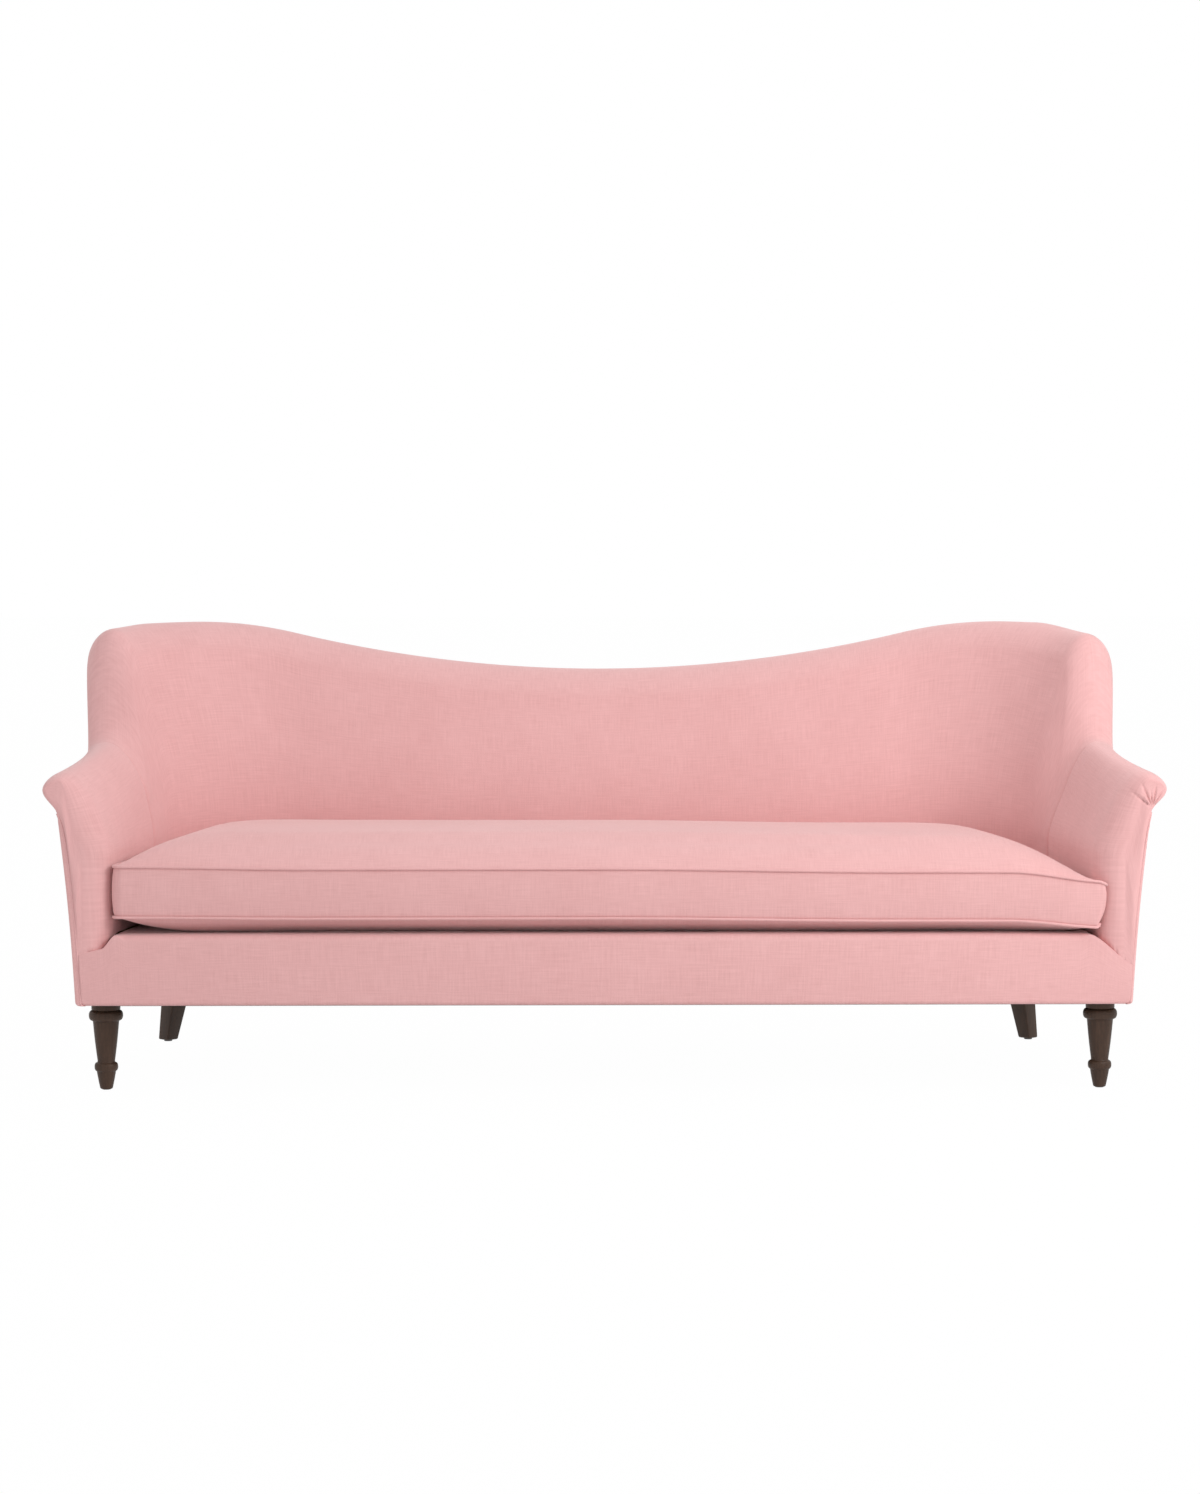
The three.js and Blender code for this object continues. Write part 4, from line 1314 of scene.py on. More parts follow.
    def _panel(self) -> None:
        """Outer panel below the roll, with its front edge turned in behind the welt."""
        form = self.form
        start = self.panel_start
        edge_start, edge_end = self.return_shares
        sections: dict[float, tuple[float, float, Section]] = {}

        def turned(share: float) -> tuple[float, float]:
            if share < edge_start:
                return start, mix(form.panel_inset(self.side), self.panel_round, share / edge_start)
            if share < edge_end:
                angle = (share - edge_start) / (edge_end - edge_start) * math.pi / 2
                behind = start + self.panel_round * (1 - math.cos(angle))
                return behind, self.panel_round * (1 - math.sin(angle))
            run = (share - edge_end) / (1 - edge_end)
            return mix(start + self.panel_round, form.arm_depth, run**self.panel_power), 0.0

        def place(share: float, rise: float) -> Vector:
            if share not in sections:
                depth, inset = turned(share)
                sections[share] = (depth, inset, form.arm_section(depth, self.side))
            depth, inset, section = sections[share]

            def face(height: float) -> float:
                return form.arm_face(depth, height, self.side)

            point = hemmed(face, section, rise, self.hem_round, self.hem_share)
            return self._spot(depth, point - pair(inset, 0))

        cloth = (form.arm_depth, self.panel_height)
        shape = moved_grid(self.panel_rows, self.panel_columns, place, cloth)
        probe = form.spot(self.side.value * form.base_half, 0.2, 0.4)
        face_outwards(shape, probe, Vector((self.side.value, 0, 0)))
        word = self.side.word
        name, node = f"outside_arm_cover_{word}", f"outside_arm_{word}"
        made = Piece.covered(name, node, self.panel_fill, self.finishes).finish(shape)
        thicken(made, self.panel_wall)

    def _welt(self) -> None:
        """Thin welt down the arm's outer front edge, slightly puckered."""
        form = self.form
        radius = self.welt_radius
        section = form.arm_section(0, self.side)
        path = []
        for i in range(self.welt_steps + 1):
            share = i / self.welt_steps
            height = mix(form.underside + radius, section.under.y - radius, share)
            grain = Vector((height * self.pucker_scale, 0, self.side.value * PUCKER_SEED))
            pucker = self.pucker * noise.noise(grain)
            edge = mix(self._seam_x(height), section.under.x - radius, share**self.edge_power)
            out = edge + radius * self.welt_out + pucker
            path.append(self._spot(radius * self.welt_sink, pair(out, height)))
        shape = tube(path, radius, WELT_SIDES, False, Vector((0, 1, 0)))
        word = self.side.word
        name, node = f"arm_welt_cord_{word}", f"arm_welt_{word}"
        Piece.covered(name, node, self.welt_fill, self.finishes).finish(shape)


@dataclass
class FrontBorder:
    """Padded border across the front, turned over the front rail."""

    form: SofaForm
    finishes: Finishes
    columns: int = 280
    rows: int = 44
    edge_round: float = 0.016
    seam_round: float = 0.0006
    turn: float = 0.060
    hem_round: float = 0.008
    corner_round: float = 0.004
    front_crown: float = 0.002
    wall: float = 0.014
    column_ease: float = 0.7
    seam_passes: int = 3
    arm_blend: float = 0.012
    arm_turn: float = 0.030
    cloth_height: float = 0.23
    fill: float = 0.5

    def build(self) -> None:
        """Builds the border."""
        form = self.form

        def place(share: float, rise: float) -> Vector:
            side = Side.RIGHT if share > 0.5 else Side.LEFT
            spread = 2 * share - 1
            across = mix(spread, math.sin(spread * math.pi / 2), self.column_ease)
            top = form.deck_height
            for _ in range(self.seam_passes):
                x = across * self._end(top, side)
                top = form.seam_height(x, side)
            under_arm = smooth((abs(x) - form.seam_start + self.arm_blend) / (2 * self.arm_blend))
            edge = mix(self.edge_round, self.seam_round, under_arm)
            turn = mix(self.turn, self.arm_turn, under_arm)
            end = self._end(form.underside, side)
            low = form.underside + self.corner_round * rounding((1 - abs(across)) * end / self.corner_round)
            depth, height = self._point(rise, low, top, edge, turn)
            return form.spot(across * self._end(height, side), depth, height)

        shape = moved_grid(self.rows, self.columns, place, (2 * form.base_half, self.cloth_height))
        face_outwards(shape, form.spot(0, 0, 0.25), Vector((0, -1, 0)))
        piece = Piece.covered("front_border_cover", "front_border", self.fill, self.finishes)
        thicken(piece.finish(shape), self.wall)

    def _end(self, height: float, side: Side) -> float:
        """Distance of the border's end from the sofa's middle, at a height."""
        form = self.form
        return form.seat_half(0) + form.arm_face(0, height, side) - form.panel_inset(side)

    def _point(self, rise: float, low: float, top: float, edge: float, turn: float) -> tuple[float, float]:
        """Depth and height of the border's skin at a share of its rows.

        Args:
            rise: share of the rows, from the lower edge over the front to the turned-in top.
            low: height of the lower edge.
            top: height of the top.
            edge: radius between the front and the top.
            turn: depth at which the top ends.

        Returns:
            The depth and the height.
        """
        hem_share, edge_share, turn_share = 0.16, 0.60, 0.86
        if rise < hem_share:
            angle = rise / hem_share * math.pi / 2
            return self.hem_round * (1 - math.sin(angle)), low + self.hem_round * (1 - math.cos(angle))
        if rise < edge_share:
            share = (rise - hem_share) / (edge_share - hem_share)
            crown = self.front_crown * math.sin(math.pi * share)
            return -crown, mix(low + self.hem_round, top - edge, share)
        if rise < turn_share:
            angle = (rise - edge_share) / (turn_share - edge_share) * math.pi / 2
            return edge * (1 - math.cos(angle)), top - edge * (1 - math.sin(angle))
        return mix(edge, turn, (rise - turn_share) / (1 - turn_share)), top


@dataclass
class SeatPlan:
    """Plan of a piece inside the seat line: straight front, tapering sides and round rear corners."""

    form: SofaForm
    clear: float
    front: float
    corner: float

    def depth_at(self, share: float) -> float:
        """Depth of a row, from the front to the back, closer together at both."""
        eased = mix(share, (1 - math.cos(math.pi * share)) / 2, ROW_EASE)
        return mix(self.front, self.form.seat_depth - self.clear, eased)

    def half(self, depth: float, side: Side) -> float:
        """Half the width at a depth, towards a side."""
        form = self.form
        if depth > form.arm_depth:
            radius = form.corner - self.clear
            return form.corner_x + math.sqrt(max(0.0, radius**2 - (depth - form.corner_depth) ** 2))
        return form.seat_half(depth) - self.clear - self.corner * rounding((depth - self.front) / self.corner)

    def wide(self, across: float) -> float:
        """Share of the half width at a column, closer together at both ends."""
        return mix(across, math.sin(across * math.pi / 2), COLUMN_EASE)

    def spot(self, across: float, share: float, height: float) -> Vector:
        """Place from -1 to 1 across and from 0 to 1 to the back."""
        depth = self.depth_at(share)
        side = Side.RIGHT if across > 0 else Side.LEFT
        return self.form.spot(self.wide(across) * self.half(depth, side), depth, height)

    def loop(self, count: int) -> list[tuple[float, float]]:
        """Places round the plan, as across and share."""
        steps = count // 4
        front = [(mix(-1, 1, i / steps), 0.0) for i in range(steps)]
        right = [(1.0, i / steps) for i in range(steps)]
        back = [(mix(1, -1, i / steps), 1.0) for i in range(steps)]
        left = [(-1.0, 1 - i / steps) for i in range(steps)]
        return front + right + back + left


@dataclass
class CushionPlan(SeatPlan):
    """Plan of the cushion. Its right front corner is squeezed out before the arm's rounded nose."""

    inset: float = 0.0
    squeeze: float = 0.010
    squeeze_start: float = 0.65
    squeeze_run: float = 0.32
    press: float = 0.0035
    end_corner: float = 0.014

    def lead(self, across: float) -> float:
        """How far the front stands forward near the right end."""
        return -self.squeeze * smooth((self.wide(across) - self.squeeze_start) / self.squeeze_run)

    def half(self, depth: float, side: Side) -> float:
        """Half the width at a depth, towards a side."""
        plain = super().half(depth, side)
        if side is Side.LEFT or depth > self.form.nose_depth * 2:
            return plain
        nose = self.form.nose_inset(max(depth - self.inset, 0.0))
        tight = self.form.seat_half(depth) + nose - self.clear + self.press
        tight -= self.end_corner * rounding((depth - self.front) / self.end_corner)
        share = 1 - smooth((depth - self.form.nose_depth) / self.form.nose_depth)
        return mix(plain, tight, share)

    def spot(self, across: float, share: float, height: float) -> Vector:
        """Place from -1 to 1 across and from 0 to 1 to the back."""
        place = super().spot(across, share, height)
        place.y += self.lead(across) * (1 - smooth(share / 0.5))
        return place


@dataclass(frozen=True)
class EndChange:
    """Change of the cushion's height towards one of its ends, at its two seams."""

    bottom: float
    top: float
    start: float
    run: float

    def at(self, wide: float, high: float) -> float:
        """Change at a share of the half width, from 0 at the bottom seam to 1 at the top seam."""
        return mix(self.bottom, self.top, high) * smooth((wide - self.start) / self.run)


@dataclass
class SeatCushion:
    """Loose bench cushion with box sides, a crown, and a welt round its top and its bottom seam."""

    form: SofaForm
    finishes: Finishes
    gap: float = 0.004
    front: float = 0.005
    corner: float = 0.022
    bottom_seam: float = 0.362
    top_seam: float = 0.465
    crown: float = 0.526
    bulge: float = 0.004
    welt_radius: float = 0.0029
    across_cuts: int = 150
    depth_cuts: int = 46
    height_cuts: int = 9
    swell: float = 0.006
    tuck: float = 0.010
    top_round: float = 0.006
    bottom_round: float = 0.006
    round_run: float = 0.018
    welt_draw: float = 0.001
    left_rise: EndChange = EndChange(bottom=0.003, top=0.005, start=0.6, run=0.4)
    right_fall: EndChange = EndChange(bottom=0.006, top=0.007, start=0.0, run=0.6)
    end_fall: EndChange = EndChange(bottom=0.014, top=0.021, start=0.81, run=0.20)
    bulge_power: float = 2.5
    top_powers: tuple[int, int] = (15, 5)
    base_powers: tuple[int, int] = (18, 12)
    rest_gap: float = 0.0006
    floor_gap: float = 0.0004
    pressure: float = 4.0
    cloth_mass: float = 0.3
    cloth_quality: int = 5
    frames: int = 20
    plan_points: int = 1600
    welt_points: int = 720
    fill: float = 0.75
    welt_fill: float = 0.9

    def build(self) -> None:
        """Builds the cushion and its two welts."""
        self._filling()
        self._welt("top", 1.0)
        self._welt("bottom", 0.0)

    def plan(self, inset: float) -> CushionPlan:
        """Plan of the cushion, moved in from its widest line."""
        corner = self.corner - inset * 0.5
        return CushionPlan(self.form, self.gap + inset, self.front + inset, corner, inset=inset)

    def sag(self, across: float, high: float) -> float:
        """Rise or fall of the cushion along its length: the right end has sunk.

        Args:
            across: place from -1 at the left end to 1 at the right end.
            high: 0 at the bottom seam and 1 at the top seam.

        Returns:
            The change of height.
        """
        wide = self.plan(0).wide(across)
        left = self.left_rise.at(-wide, high)
        right = self.right_fall.at(wide, high)
        end = self.end_fall.at(wide, high)
        rounded = rounding(self.from_end(across) / self.round_run)
        corner = mix(-self.bottom_round, self.top_round, high) * rounded
        return left - right - end - corner

    def from_end(self, across: float) -> float:
        """Distance from the cushion's right end."""
        return (1 - self.plan(0).wide(across)) * self.form.seat_half_front

    def tucked(self, across: float, high: float) -> float:
        """How far the right end is drawn in towards its bottom seam."""
        return self.tuck * (1 - high) ** 2 * (1 - smooth(self.from_end(across) / self.round_run))

    def _filling(self) -> None:
        """Cushion's body: a block moved to the crowned form, then swelled between its seams."""
        shape = cut_block((self.across_cuts, self.depth_cuts, self.height_cuts))
        seams = []
        for vertex in shape.verts:
            across, share, high = 2 * vertex.co.x, vertex.co.y + 0.5, vertex.co.z + 0.5
            rim = abs(across) > 1 - RIM or share < RIM or share > 1 - RIM
            if rim and (high > 1 - RIM or high < RIM):
                seams.append(vertex.index)
            vertex.co = self._place(across, share, high, rim)
        bmesh.ops.recalc_face_normals(shape, faces=list(shape.faces))
        self._map(shape)
        piece = Piece.covered("seat_cushion_cover", "seat_cushion", self.fill, self.finishes, "cushion")
        made = piece.finish(shape)
        self._swell(made, seams)
        finer = made.modifiers.new("finer", "SUBSURF")
        finer.levels = 1
        finer.render_levels = 1

    def _place(self, across: float, share: float, high: float, rim: bool) -> Vector:
        """Place of a point of the block on the cushion."""
        if rim:
            low = self.bottom_seam + self.sag(across, 0)
            top = self.top_seam + self.sag(across, 1)
            inset = self.bulge * abs(2 * high - 1) ** self.bulge_power
            inset += self.tucked(across, high)
            return self.plan(inset).spot(across, share, mix(low, top, high))
        plan = self.plan(self.bulge)
        deep = 2 * (plan.depth_at(share) - plan.front) / (self.form.seat_depth - plan.clear - plan.front) - 1
        wide = plan.wide(across)
        wide_power, deep_power = self.top_powers if high > 0.5 else self.base_powers
        dome = (1 - abs(wide) ** wide_power) * (1 - abs(deep) ** deep_power)
        if high > 0.5:
            height = mix(self.top_seam, self.crown, dome) + self.sag(across, 1)
        else:
            rest = self.form.deck_height + self.rest_gap
            height = max(rest, mix(self.bottom_seam + self.sag(across, 0), rest, dome))
        return plan.spot(across, share, height)

    def _map(self, shape: bmesh.types.BMesh) -> None:
        """Cloth map in metres, seen along each face's main direction."""
        layer = shape.loops.layers.uv["cloth"]
        shape.normal_update()
        for face in shape.faces:
            axis = max(range(3), key=lambda i: abs(face.normal[i]))
            first, second = ((1, 2), (0, 2), (0, 1))[axis]
            for loop in face.loops:
                loop[layer].uv = (loop.vert.co[first], loop.vert.co[second])

    def _swell(self, made: bpy.types.Object, seams: list[int]) -> None:
        """Lets the filling press on the cover, which the welts hold.

        Args:
            made: the cushion.
            seams: points of the two seams, which stay where they are.
        """
        start = [vertex.co.copy() for vertex in made.data.vertices]
        held = made.vertex_groups.new(name="seams")
        held.add(seams, 1.0, "REPLACE")
        cloth = made.modifiers.new("cover", "CLOTH")
        cloth.settings.vertex_group_mass = held.name
        cloth.settings.use_pressure = True
        cloth.settings.uniform_pressure_force = self.pressure
        cloth.settings.effector_weights.gravity = 0.0
        cloth.settings.quality = self.cloth_quality
        cloth.settings.mass = self.cloth_mass
        cloth.point_cache.frame_start = 1
        cloth.point_cache.frame_end = self.frames
        scene = bpy.context.scene
        for number in range(1, self.frames + 1):
            scene.frame_set(number)
        graph = bpy.context.evaluated_depsgraph_get()
        swelled = [vertex.co.copy() for vertex in made.evaluated_get(graph).data.vertices]
        made.modifiers.remove(cloth)
        made.vertex_groups.remove(held)
        scene.frame_set(1)
        floor = self.form.deck_height + self.floor_gap
        for vertex, before, after in zip(made.data.vertices, start, swelled):
            move = after - before
            if move.length > self.swell:
                move *= self.swell / move.length
            vertex.co = before + move
            vertex.co.z = max(vertex.co.z, floor)
        made.data.update()

    def _welt(self, word: str, high: float) -> None:
        """Welt round one of the cushion's seams."""
        base = mix(self.bottom_seam, self.top_seam, high)
        loop = []
        for across, share in self.plan(0).loop(self.plan_points):
            drawn = self.welt_draw * (1 - smooth(self.from_end(across) / self.round_run))
            plan = self.plan(self.bulge - self.welt_radius * 0.5 + self.tucked(across, high) + drawn)
            loop.append(plan.spot(across, share, base + self.sag(across, high)))
        shape = tube(evenly(loop, self.welt_points), self.welt_radius, WELT_SIDES, True, Vector((0, 0, 1)))
        name, node = f"cushion_welt_cord_{word}", f"cushion_welt_{word}"
        Piece.covered(name, node, self.welt_fill, self.finishes, "cushion").finish(shape)


@dataclass
class SeatDeck:
    """Padded deck under the cushion."""

    form: SofaForm
    finishes: Finishes
    clear: float = 0.003
    front: float = 0.0605
    low: float = 0.2805
    edge: float = 0.006
    corner: float = 0.004
    gap: float = 0.0004
    cuts: tuple[int, int] = (60, 40)
    rim_angle: float = 0.8
    fill: float = 0.4

    def build(self) -> None:
        """Builds the deck as a block moved to the seat's plan, with eased edges."""
        form = self.form
        shape = cut_block(self.cuts)
        plan = SeatPlan(form, self.clear, self.front, self.corner)
        top = form.deck_height - self.gap
        for vertex in shape.verts:
            height = mix(self.low, top, vertex.co.z + 0.5)
            vertex.co = plan.spot(2 * vertex.co.x, vertex.co.y + 0.5, height)
        rims = [edge for edge in shape.edges if edge.calc_face_angle(0) > self.rim_angle]
        round_edges(shape, rims, self.edge, 3)
        bmesh.ops.recalc_face_normals(shape, faces=list(shape.faces))
        layer = shape.loops.layers.uv["cloth"]
        for face in shape.faces:
            for loop in face.loops:
                loop[layer].uv = (loop.vert.co.x, loop.vert.co.y)
        Piece.covered("deck_cover", "deck_pad", self.fill, self.finishes).finish(shape)


@dataclass
class TurnedLeg:
    """Front leg turned from one piece, with a collar, two rings and a tapered foot."""

    form: SofaForm
    finishes: Finishes
    side: Side
    half: float = 1.036
    set_back: float = 0.065
    collar: float = 0.0300
    collar_height: float = 0.016
    ring: float = 0.0355
    ring_height: float = 0.021
    shaft_top: float = 0.0270
    shaft_end: float = 0.0180
    low_ring: float = 0.0245
    low_ring_height: float = 0.017
    low_ring_top: float = 0.056
    foot_top: float = 0.01975
    foot_end: float = 0.0135
    foot_height: float = 0.0010
    recess: float = 0.0093
    recess_height: float = 0.0033
    bolt: float = 0.004
    bolt_rise: float = 0.050
    turns: int = 72
    ease: float = 0.0012
    shaft_swell: float = 0.0006
    foot_power: float = 1.15
    bead_power: float = 0.75
    bead_steps: int = 14
    sharp_deg: float = 38

    def build(self) -> None:
        """Spins the leg's profile round its middle line."""
        shape = bmesh.new()
        points = [shape.verts.new((radius, 0, height)) for radius, height in self._profile()]
        for before, after in zip(points, points[1:]):
            shape.edges.new((before, after))
        bmesh.ops.spin(
            shape, geom=list(shape.verts) + list(shape.edges), cent=(0, 0, 0), axis=(0, 0, 1),
            angle=2 * math.pi, steps=self.turns, use_merge=True, use_duplicate=False,
        )
        weld(shape)
        bmesh.ops.dissolve_degenerate(shape, dist=WELD, edges=list(shape.edges))
        bmesh.ops.recalc_face_normals(shape, faces=list(shape.faces))
        place = self.form.spot(self.side.value * self.half, self.set_back, 0)
        bmesh.ops.translate(shape, vec=place, verts=list(shape.verts))
        made = Piece(f"turned_leg_{self.side.word}", "frame", "leg_wood", self.finishes.leg,
                     (f"front_leg_{self.side.word}",)).finish(shape)
        made.data.set_sharp_from_angle(angle=math.radians(self.sharp_deg))

    def _profile(self) -> list[tuple[float, float]]:
        """Radius and height of the leg's outline, from the top of its bolt down to its foot."""
        top = self.form.underside - self.form.leg_gap
        ring_top = top - self.collar_height
        ring_end = ring_top - self.ring_height
        low_end = self.low_ring_top - self.low_ring_height
        ease = self.ease
        points = [
            (0.0, top + self.bolt_rise),
            (self.bolt, top + self.bolt_rise),
            (self.bolt, top),
            (self.collar, top),
            (self.collar, ring_top + 2 * ease),
            (self.collar - ease / 2, ring_top + ease),
            (self.collar - 2 * ease, ring_top),
        ]
        points += self._bead(self.collar - 2 * ease, ring_top, ring_end, self.ring, self.shaft_top + ease)
        points += [(self.shaft_top + ease / 3, ring_end - ease), (self.shaft_top, ring_end - 3 * ease)]
        for i in range(1, 10):
            share = i / 10
            radius = mix(self.shaft_top, self.shaft_end, share) + self.shaft_swell * math.sin(math.pi * share)
            points.append((radius, mix(ring_end - 3 * ease, self.low_ring_top + 3 * ease, share)))
        points += [
            (self.shaft_end, self.low_ring_top + 3 * ease),
            (self.shaft_end + ease / 2, self.low_ring_top + ease),
            (self.shaft_end + 1.5 * ease, self.low_ring_top),
        ]
        points += self._bead(self.shaft_end + 1.5 * ease, self.low_ring_top, low_end, self.low_ring,
                             self.foot_top)
        points.append((self.foot_top, low_end - ease))
        for i in range(1, 8):
            share = i / 8
            radius = mix(self.foot_top, self.foot_end, share**self.foot_power)
            points.append((radius, mix(low_end - ease, self.foot_height + 3 * ease, share)))
        for i in range(4):
            angle = i / 3 * math.pi / 2
            points.append((
                self.foot_end - 3 * ease * (1 - math.cos(angle)),
                self.foot_height + 3 * ease * (1 - math.sin(angle)),
            ))
        points += [
            (self.recess, self.foot_height),
            (self.recess, self.recess_height),
            (0.0, self.recess_height),
        ]
        return points

    def _bead(self, start: float, high: float, low: float, widest: float,
              end: float) -> list[tuple[float, float]]:
        """Rounded ring of the outline between two heights."""
        points = []
        for i in range(1, self.bead_steps):
            angle = math.pi * i / self.bead_steps
            inner = start if i < self.bead_steps / 2 else end
            radius = inner + (widest - inner) * math.sin(angle) ** self.bead_power
            points.append((radius, mix(high, low, (1 - math.cos(angle)) / 2)))
        return points


@dataclass
class SquareLeg:
    """Square tapered rear leg, turned by an eighth of a turn and splayed."""

    form: SofaForm
    finishes: Finishes
    side: Side
    half: float = 0.944
    set_back: float = 0.743
    splay: float = 0.032
    top_width: float = 0.054
    end_width: float = 0.032
    foot_height: float = 0.0033
    edge: float = 0.0035
    bolt: float = 0.004
    bolt_rise: float = 0.050
    sharp_deg: float = 38

    def build(self) -> None:
        """Builds the leg as a tapered block with eased edges, and its bolt."""
        form = self.form
        top = form.underside - form.leg_gap
        turn = Matrix.Rotation(math.pi / 4, 3, "Z")
        shape = bmesh.new()
        bmesh.ops.create_cube(shape, size=1.0)
        for vertex in shape.verts:
            high = vertex.co.z + 0.5
            width = mix(self.end_width, self.top_width, high)
            lean = mix(self.splay, 0.0, high)
            flat = turn @ Vector((vertex.co.x * width, vertex.co.y * width, 0))
            height = mix(self.foot_height, top, high)
            vertex.co = form.spot(self.half + lean + flat.x, self.set_back + lean + flat.y, height)
        rims = [edge for edge in shape.edges if min(v.co.z for v in edge.verts) < top - WELD]
        round_edges(shape, rims, self.edge, 4)
        made = bmesh.ops.create_cone(
            shape, cap_ends=True, segments=16, radius1=self.bolt, radius2=self.bolt, depth=self.bolt_rise,
        )
        bolt_middle = form.spot(self.half, self.set_back, top + self.bolt_rise / 2)
        bmesh.ops.translate(shape, vec=bolt_middle, verts=made["verts"])
        if self.side is Side.LEFT:
            bmesh.ops.scale(shape, vec=(-1, 1, 1), verts=list(shape.verts))
        bmesh.ops.recalc_face_normals(shape, faces=list(shape.faces))
        leg = Piece(f"square_leg_{self.side.word}", "frame", "leg_wood", self.finishes.leg,
                    (f"rear_leg_{self.side.word}",)).finish(shape)
        leg.data.set_sharp_from_angle(angle=math.radians(self.sharp_deg))


@dataclass
class DustCover:
    """Black cloth stretched over the underside. It hangs a little between the rails."""

    finishes: Finishes
    hang: float = 0.003
    hang_power: int = 8
    cuts: int = 9
    cut_spacing: tuple[float, float] = (0.11, 0.045)

    def build(self) -> None:
        """Builds the cloth from the CAD sheet's outline, cut finer and sagged."""
        shape = bmesh.new()
        shape.from_mesh(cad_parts["dust_cover"].data)
        weld(shape)
        for plane in range(-self.cuts, self.cuts + 1):
            for way, step in zip(((1, 0, 0), (0, 1, 0)), self.cut_spacing):
                bmesh.ops.bisect_plane(
                    shape, geom=list(shape.verts) + list(shape.edges) + list(shape.faces),
                    plane_co=Vector(way) * (plane * step), plane_no=way, dist=WELD,
                )
        low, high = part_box("dust_cover")
        middle = (low + high) / 2
        for vertex in shape.verts:
            across = (vertex.co.x - middle.x) / (high.x - middle.x)
            away = (vertex.co.y - middle.y) / (high.y - middle.y)
            vertex.co.z -= self.hang * (1 - abs(across) ** self.hang_power) * (1 - away**2)
        bmesh.ops.recalc_face_normals(shape, faces=list(shape.faces))
        piece = Piece("dust_cover_cloth", "frame", "lining", self.finishes.lining, ("dust_cover",))
        made = piece.finish(shape)


@dataclass
class InnerFrame:
    """Timber, springs, webbing and glides, whose CAD shapes stay and get their finish."""

    finishes: Finishes

    def build(self) -> None:
        """Gives each remaining CAD node its material."""
        for name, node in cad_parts.items():
            if node.hide_render:
                continue
            finish = self._finish(name)
            node.data.materials.clear()
            node.data.materials.append(finish)
            log.info("%s: finished as %s", name, finish.name)

    def _finish(self, name: str) -> bpy.types.Material:
        """Material of a CAD node, by its name."""
        if "spring_" in name and "rail" not in name:
            return self.finishes.spring
        if "glide" in name:
            return self.finishes.glide
        if "web" in name:
            return self.finishes.webbing
        return self.finishes.timber


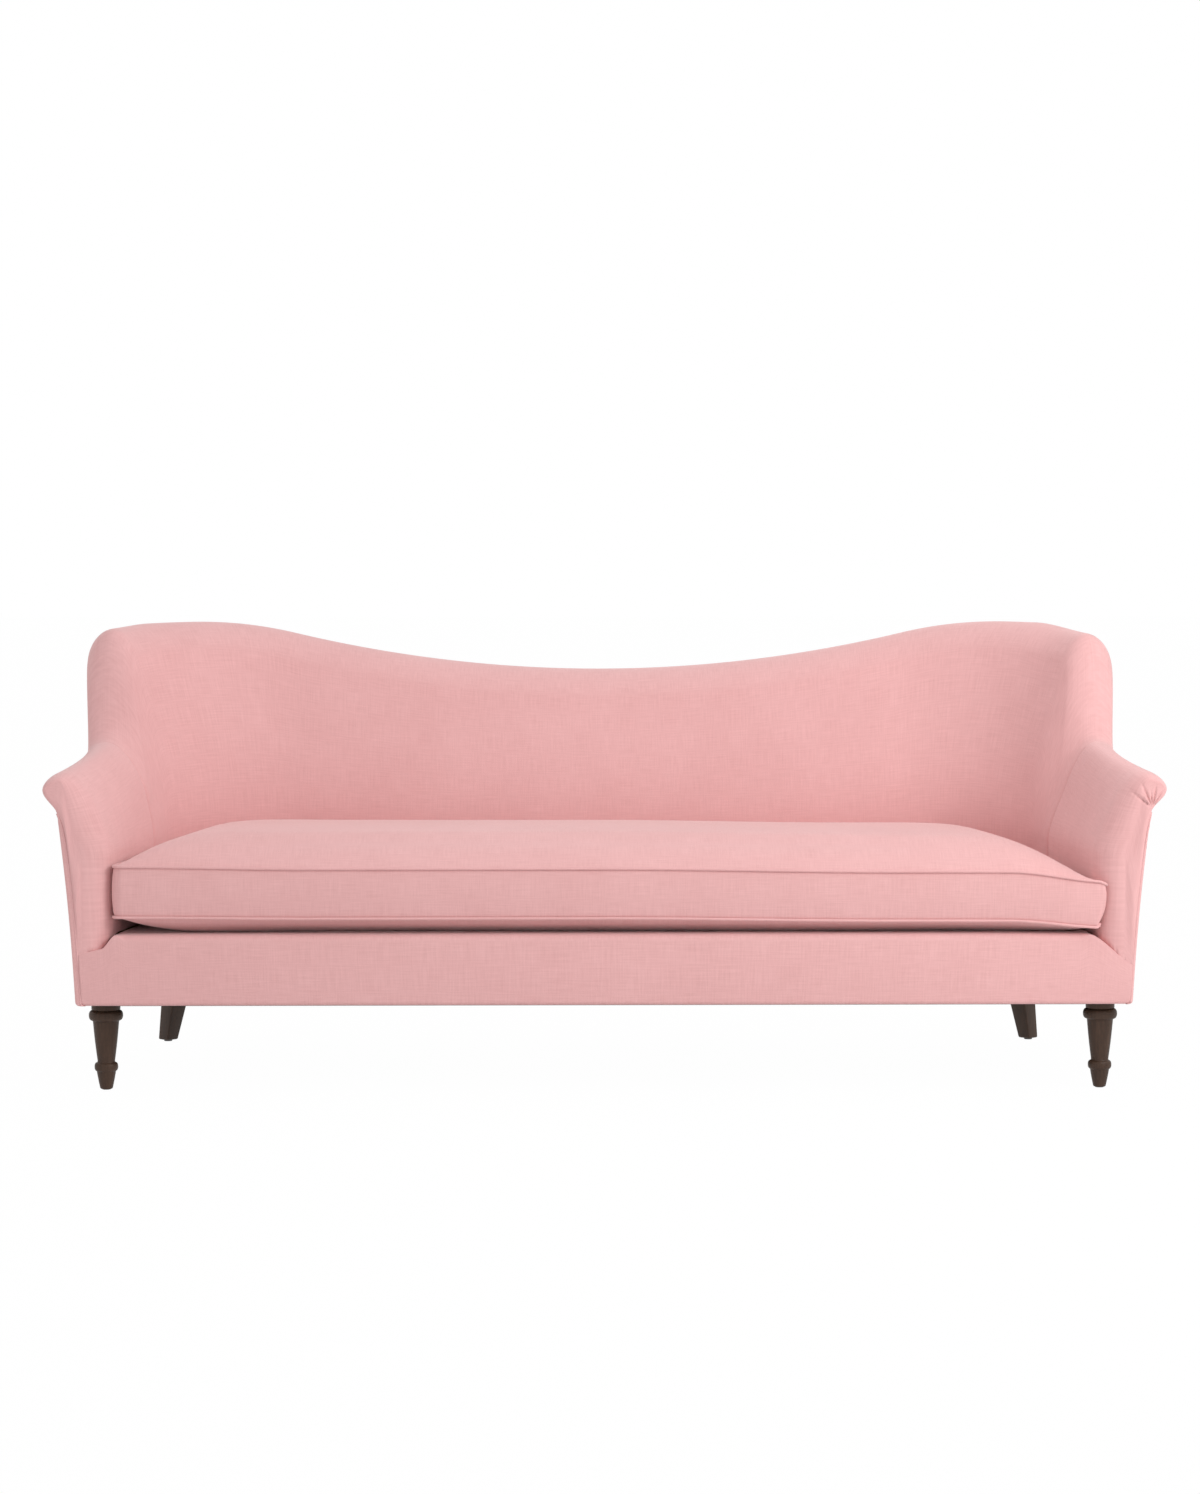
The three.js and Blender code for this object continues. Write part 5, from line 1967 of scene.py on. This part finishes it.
@dataclass
class Studio:
    """White stage, soft lamps and the camera."""

    form: SofaForm
    camera_x: float = -0.130
    camera_forward: float = 7.935
    camera_height: float = 1.243
    pitch_deg: float = 3.79
    yaw_deg: float = -0.872
    focal_px: float = 3865
    sensor: float = 36.0
    world_strength: float = 0.81
    floor_size: float = 30
    aim_height: float = 0.5

    def build(self) -> None:
        """Builds the floor, the world, the lamps and the camera."""
        self._floor()
        self._world()
        self._lamp("key_lamp", place=(2.6, -2.2, 2.4), size=1.6, power=56, colour=(1.0, 0.985, 0.97))
        self._lamp("top_lamp", place=(0.8, -0.6, 4.0), size=3.0, power=13, colour=(1.0, 1.0, 1.0))
        self._camera()

    def _floor(self) -> None:
        """Large plain floor."""
        shape = bmesh.new()
        bmesh.ops.create_grid(shape, x_segments=1, y_segments=1, size=self.floor_size)
        mesh = bpy.data.meshes.new("floor")
        shape.to_mesh(mesh)
        shape.free()
        mesh.materials.append(StudioWhite().material())
        floor = bpy.data.objects.new("floor", mesh)
        bpy.context.scene.collection.objects.link(floor)
        floor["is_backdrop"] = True

    def _world(self) -> None:
        """White surroundings: full strength where they are seen, and softer as light."""
        world = bpy.data.worlds.new("surroundings")
        shader = Shader(world)
        rays = shader.add("ShaderNodeLightPath").outputs
        seen = Socket(shader, rays["Is Camera Ray"]).math("MAXIMUM", rays["Is Transmission Ray"])
        soft = shader.add("ShaderNodeBackground", {}, {"Color": WHITE, "Strength": self.world_strength})
        white = shader.add("ShaderNodeBackground", {}, {"Color": WHITE, "Strength": 1.0})
        both = shader.add("ShaderNodeMixShader", {}, {0: seen, 1: soft.outputs[0], 2: white.outputs[0]})
        bpy.context.scene.world = shader.finish(both.outputs[0], "ShaderNodeOutputWorld")

    def _lamp(self, name: str, place: Triple, size: float, power: float, colour: Triple) -> None:
        """Square soft lamp that looks at the sofa."""
        light = bpy.data.lights.new(name, "AREA")
        light.shape = "SQUARE"
        light.size = size
        light.energy = power
        light.color = colour
        lamp = bpy.data.objects.new(name, light)
        lamp.location = place
        aim = Vector((0, 0, self.aim_height)) - Vector(place)
        lamp.rotation_euler = aim.to_track_quat("-Z", "Y").to_euler()
        bpy.context.scene.collection.objects.link(lamp)

    def _camera(self) -> None:
        """Camera of the photograph."""
        data = bpy.data.cameras.new("camera")
        data.sensor_fit = "VERTICAL"
        data.sensor_height = self.sensor
        data.lens = self.focal_px * self.sensor / PHOTO_HEIGHT
        data.clip_end = 100
        camera = bpy.data.objects.new("camera", data)
        camera.location = self.form.spot(self.camera_x, -self.camera_forward, self.camera_height)
        camera.rotation_euler = (math.radians(90 - self.pitch_deg), 0, math.radians(self.yaw_deg))
        bpy.context.scene.collection.objects.link(camera)
        bpy.context.scene.camera = camera
        bpy.context.scene.view_settings.view_transform = "Standard"


def write_sizes() -> None:
    """Rounds the CAD box and the visual model's box to five places."""
    boxes = {"cad": cad_bounds, "visual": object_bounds()}
    plain = {word: [[round(value, 5) for value in corner] for corner in box] for word, box in boxes.items()}


def main() -> None:
    """Builds every sub-assembly round the frame."""
    logging.basicConfig(level=logging.INFO, format="%(name)s: %(message)s")
    form = SofaForm()
    finishes = Finishes.make()
    PaddedBack(form, finishes).build()
    for side in Side:
        PaddedArm(form, finishes, side).build()
        TurnedLeg(form, finishes, side).build()
        SquareLeg(form, finishes, side).build()
    FrontBorder(form, finishes).build()
    SeatDeck(form, finishes).build()
    SeatCushion(form, finishes).build()
    DustCover(finishes).build()
    InnerFrame(finishes).build()
    Studio(form).build()
    write_sizes()


if __name__ == "__main__":
    main()
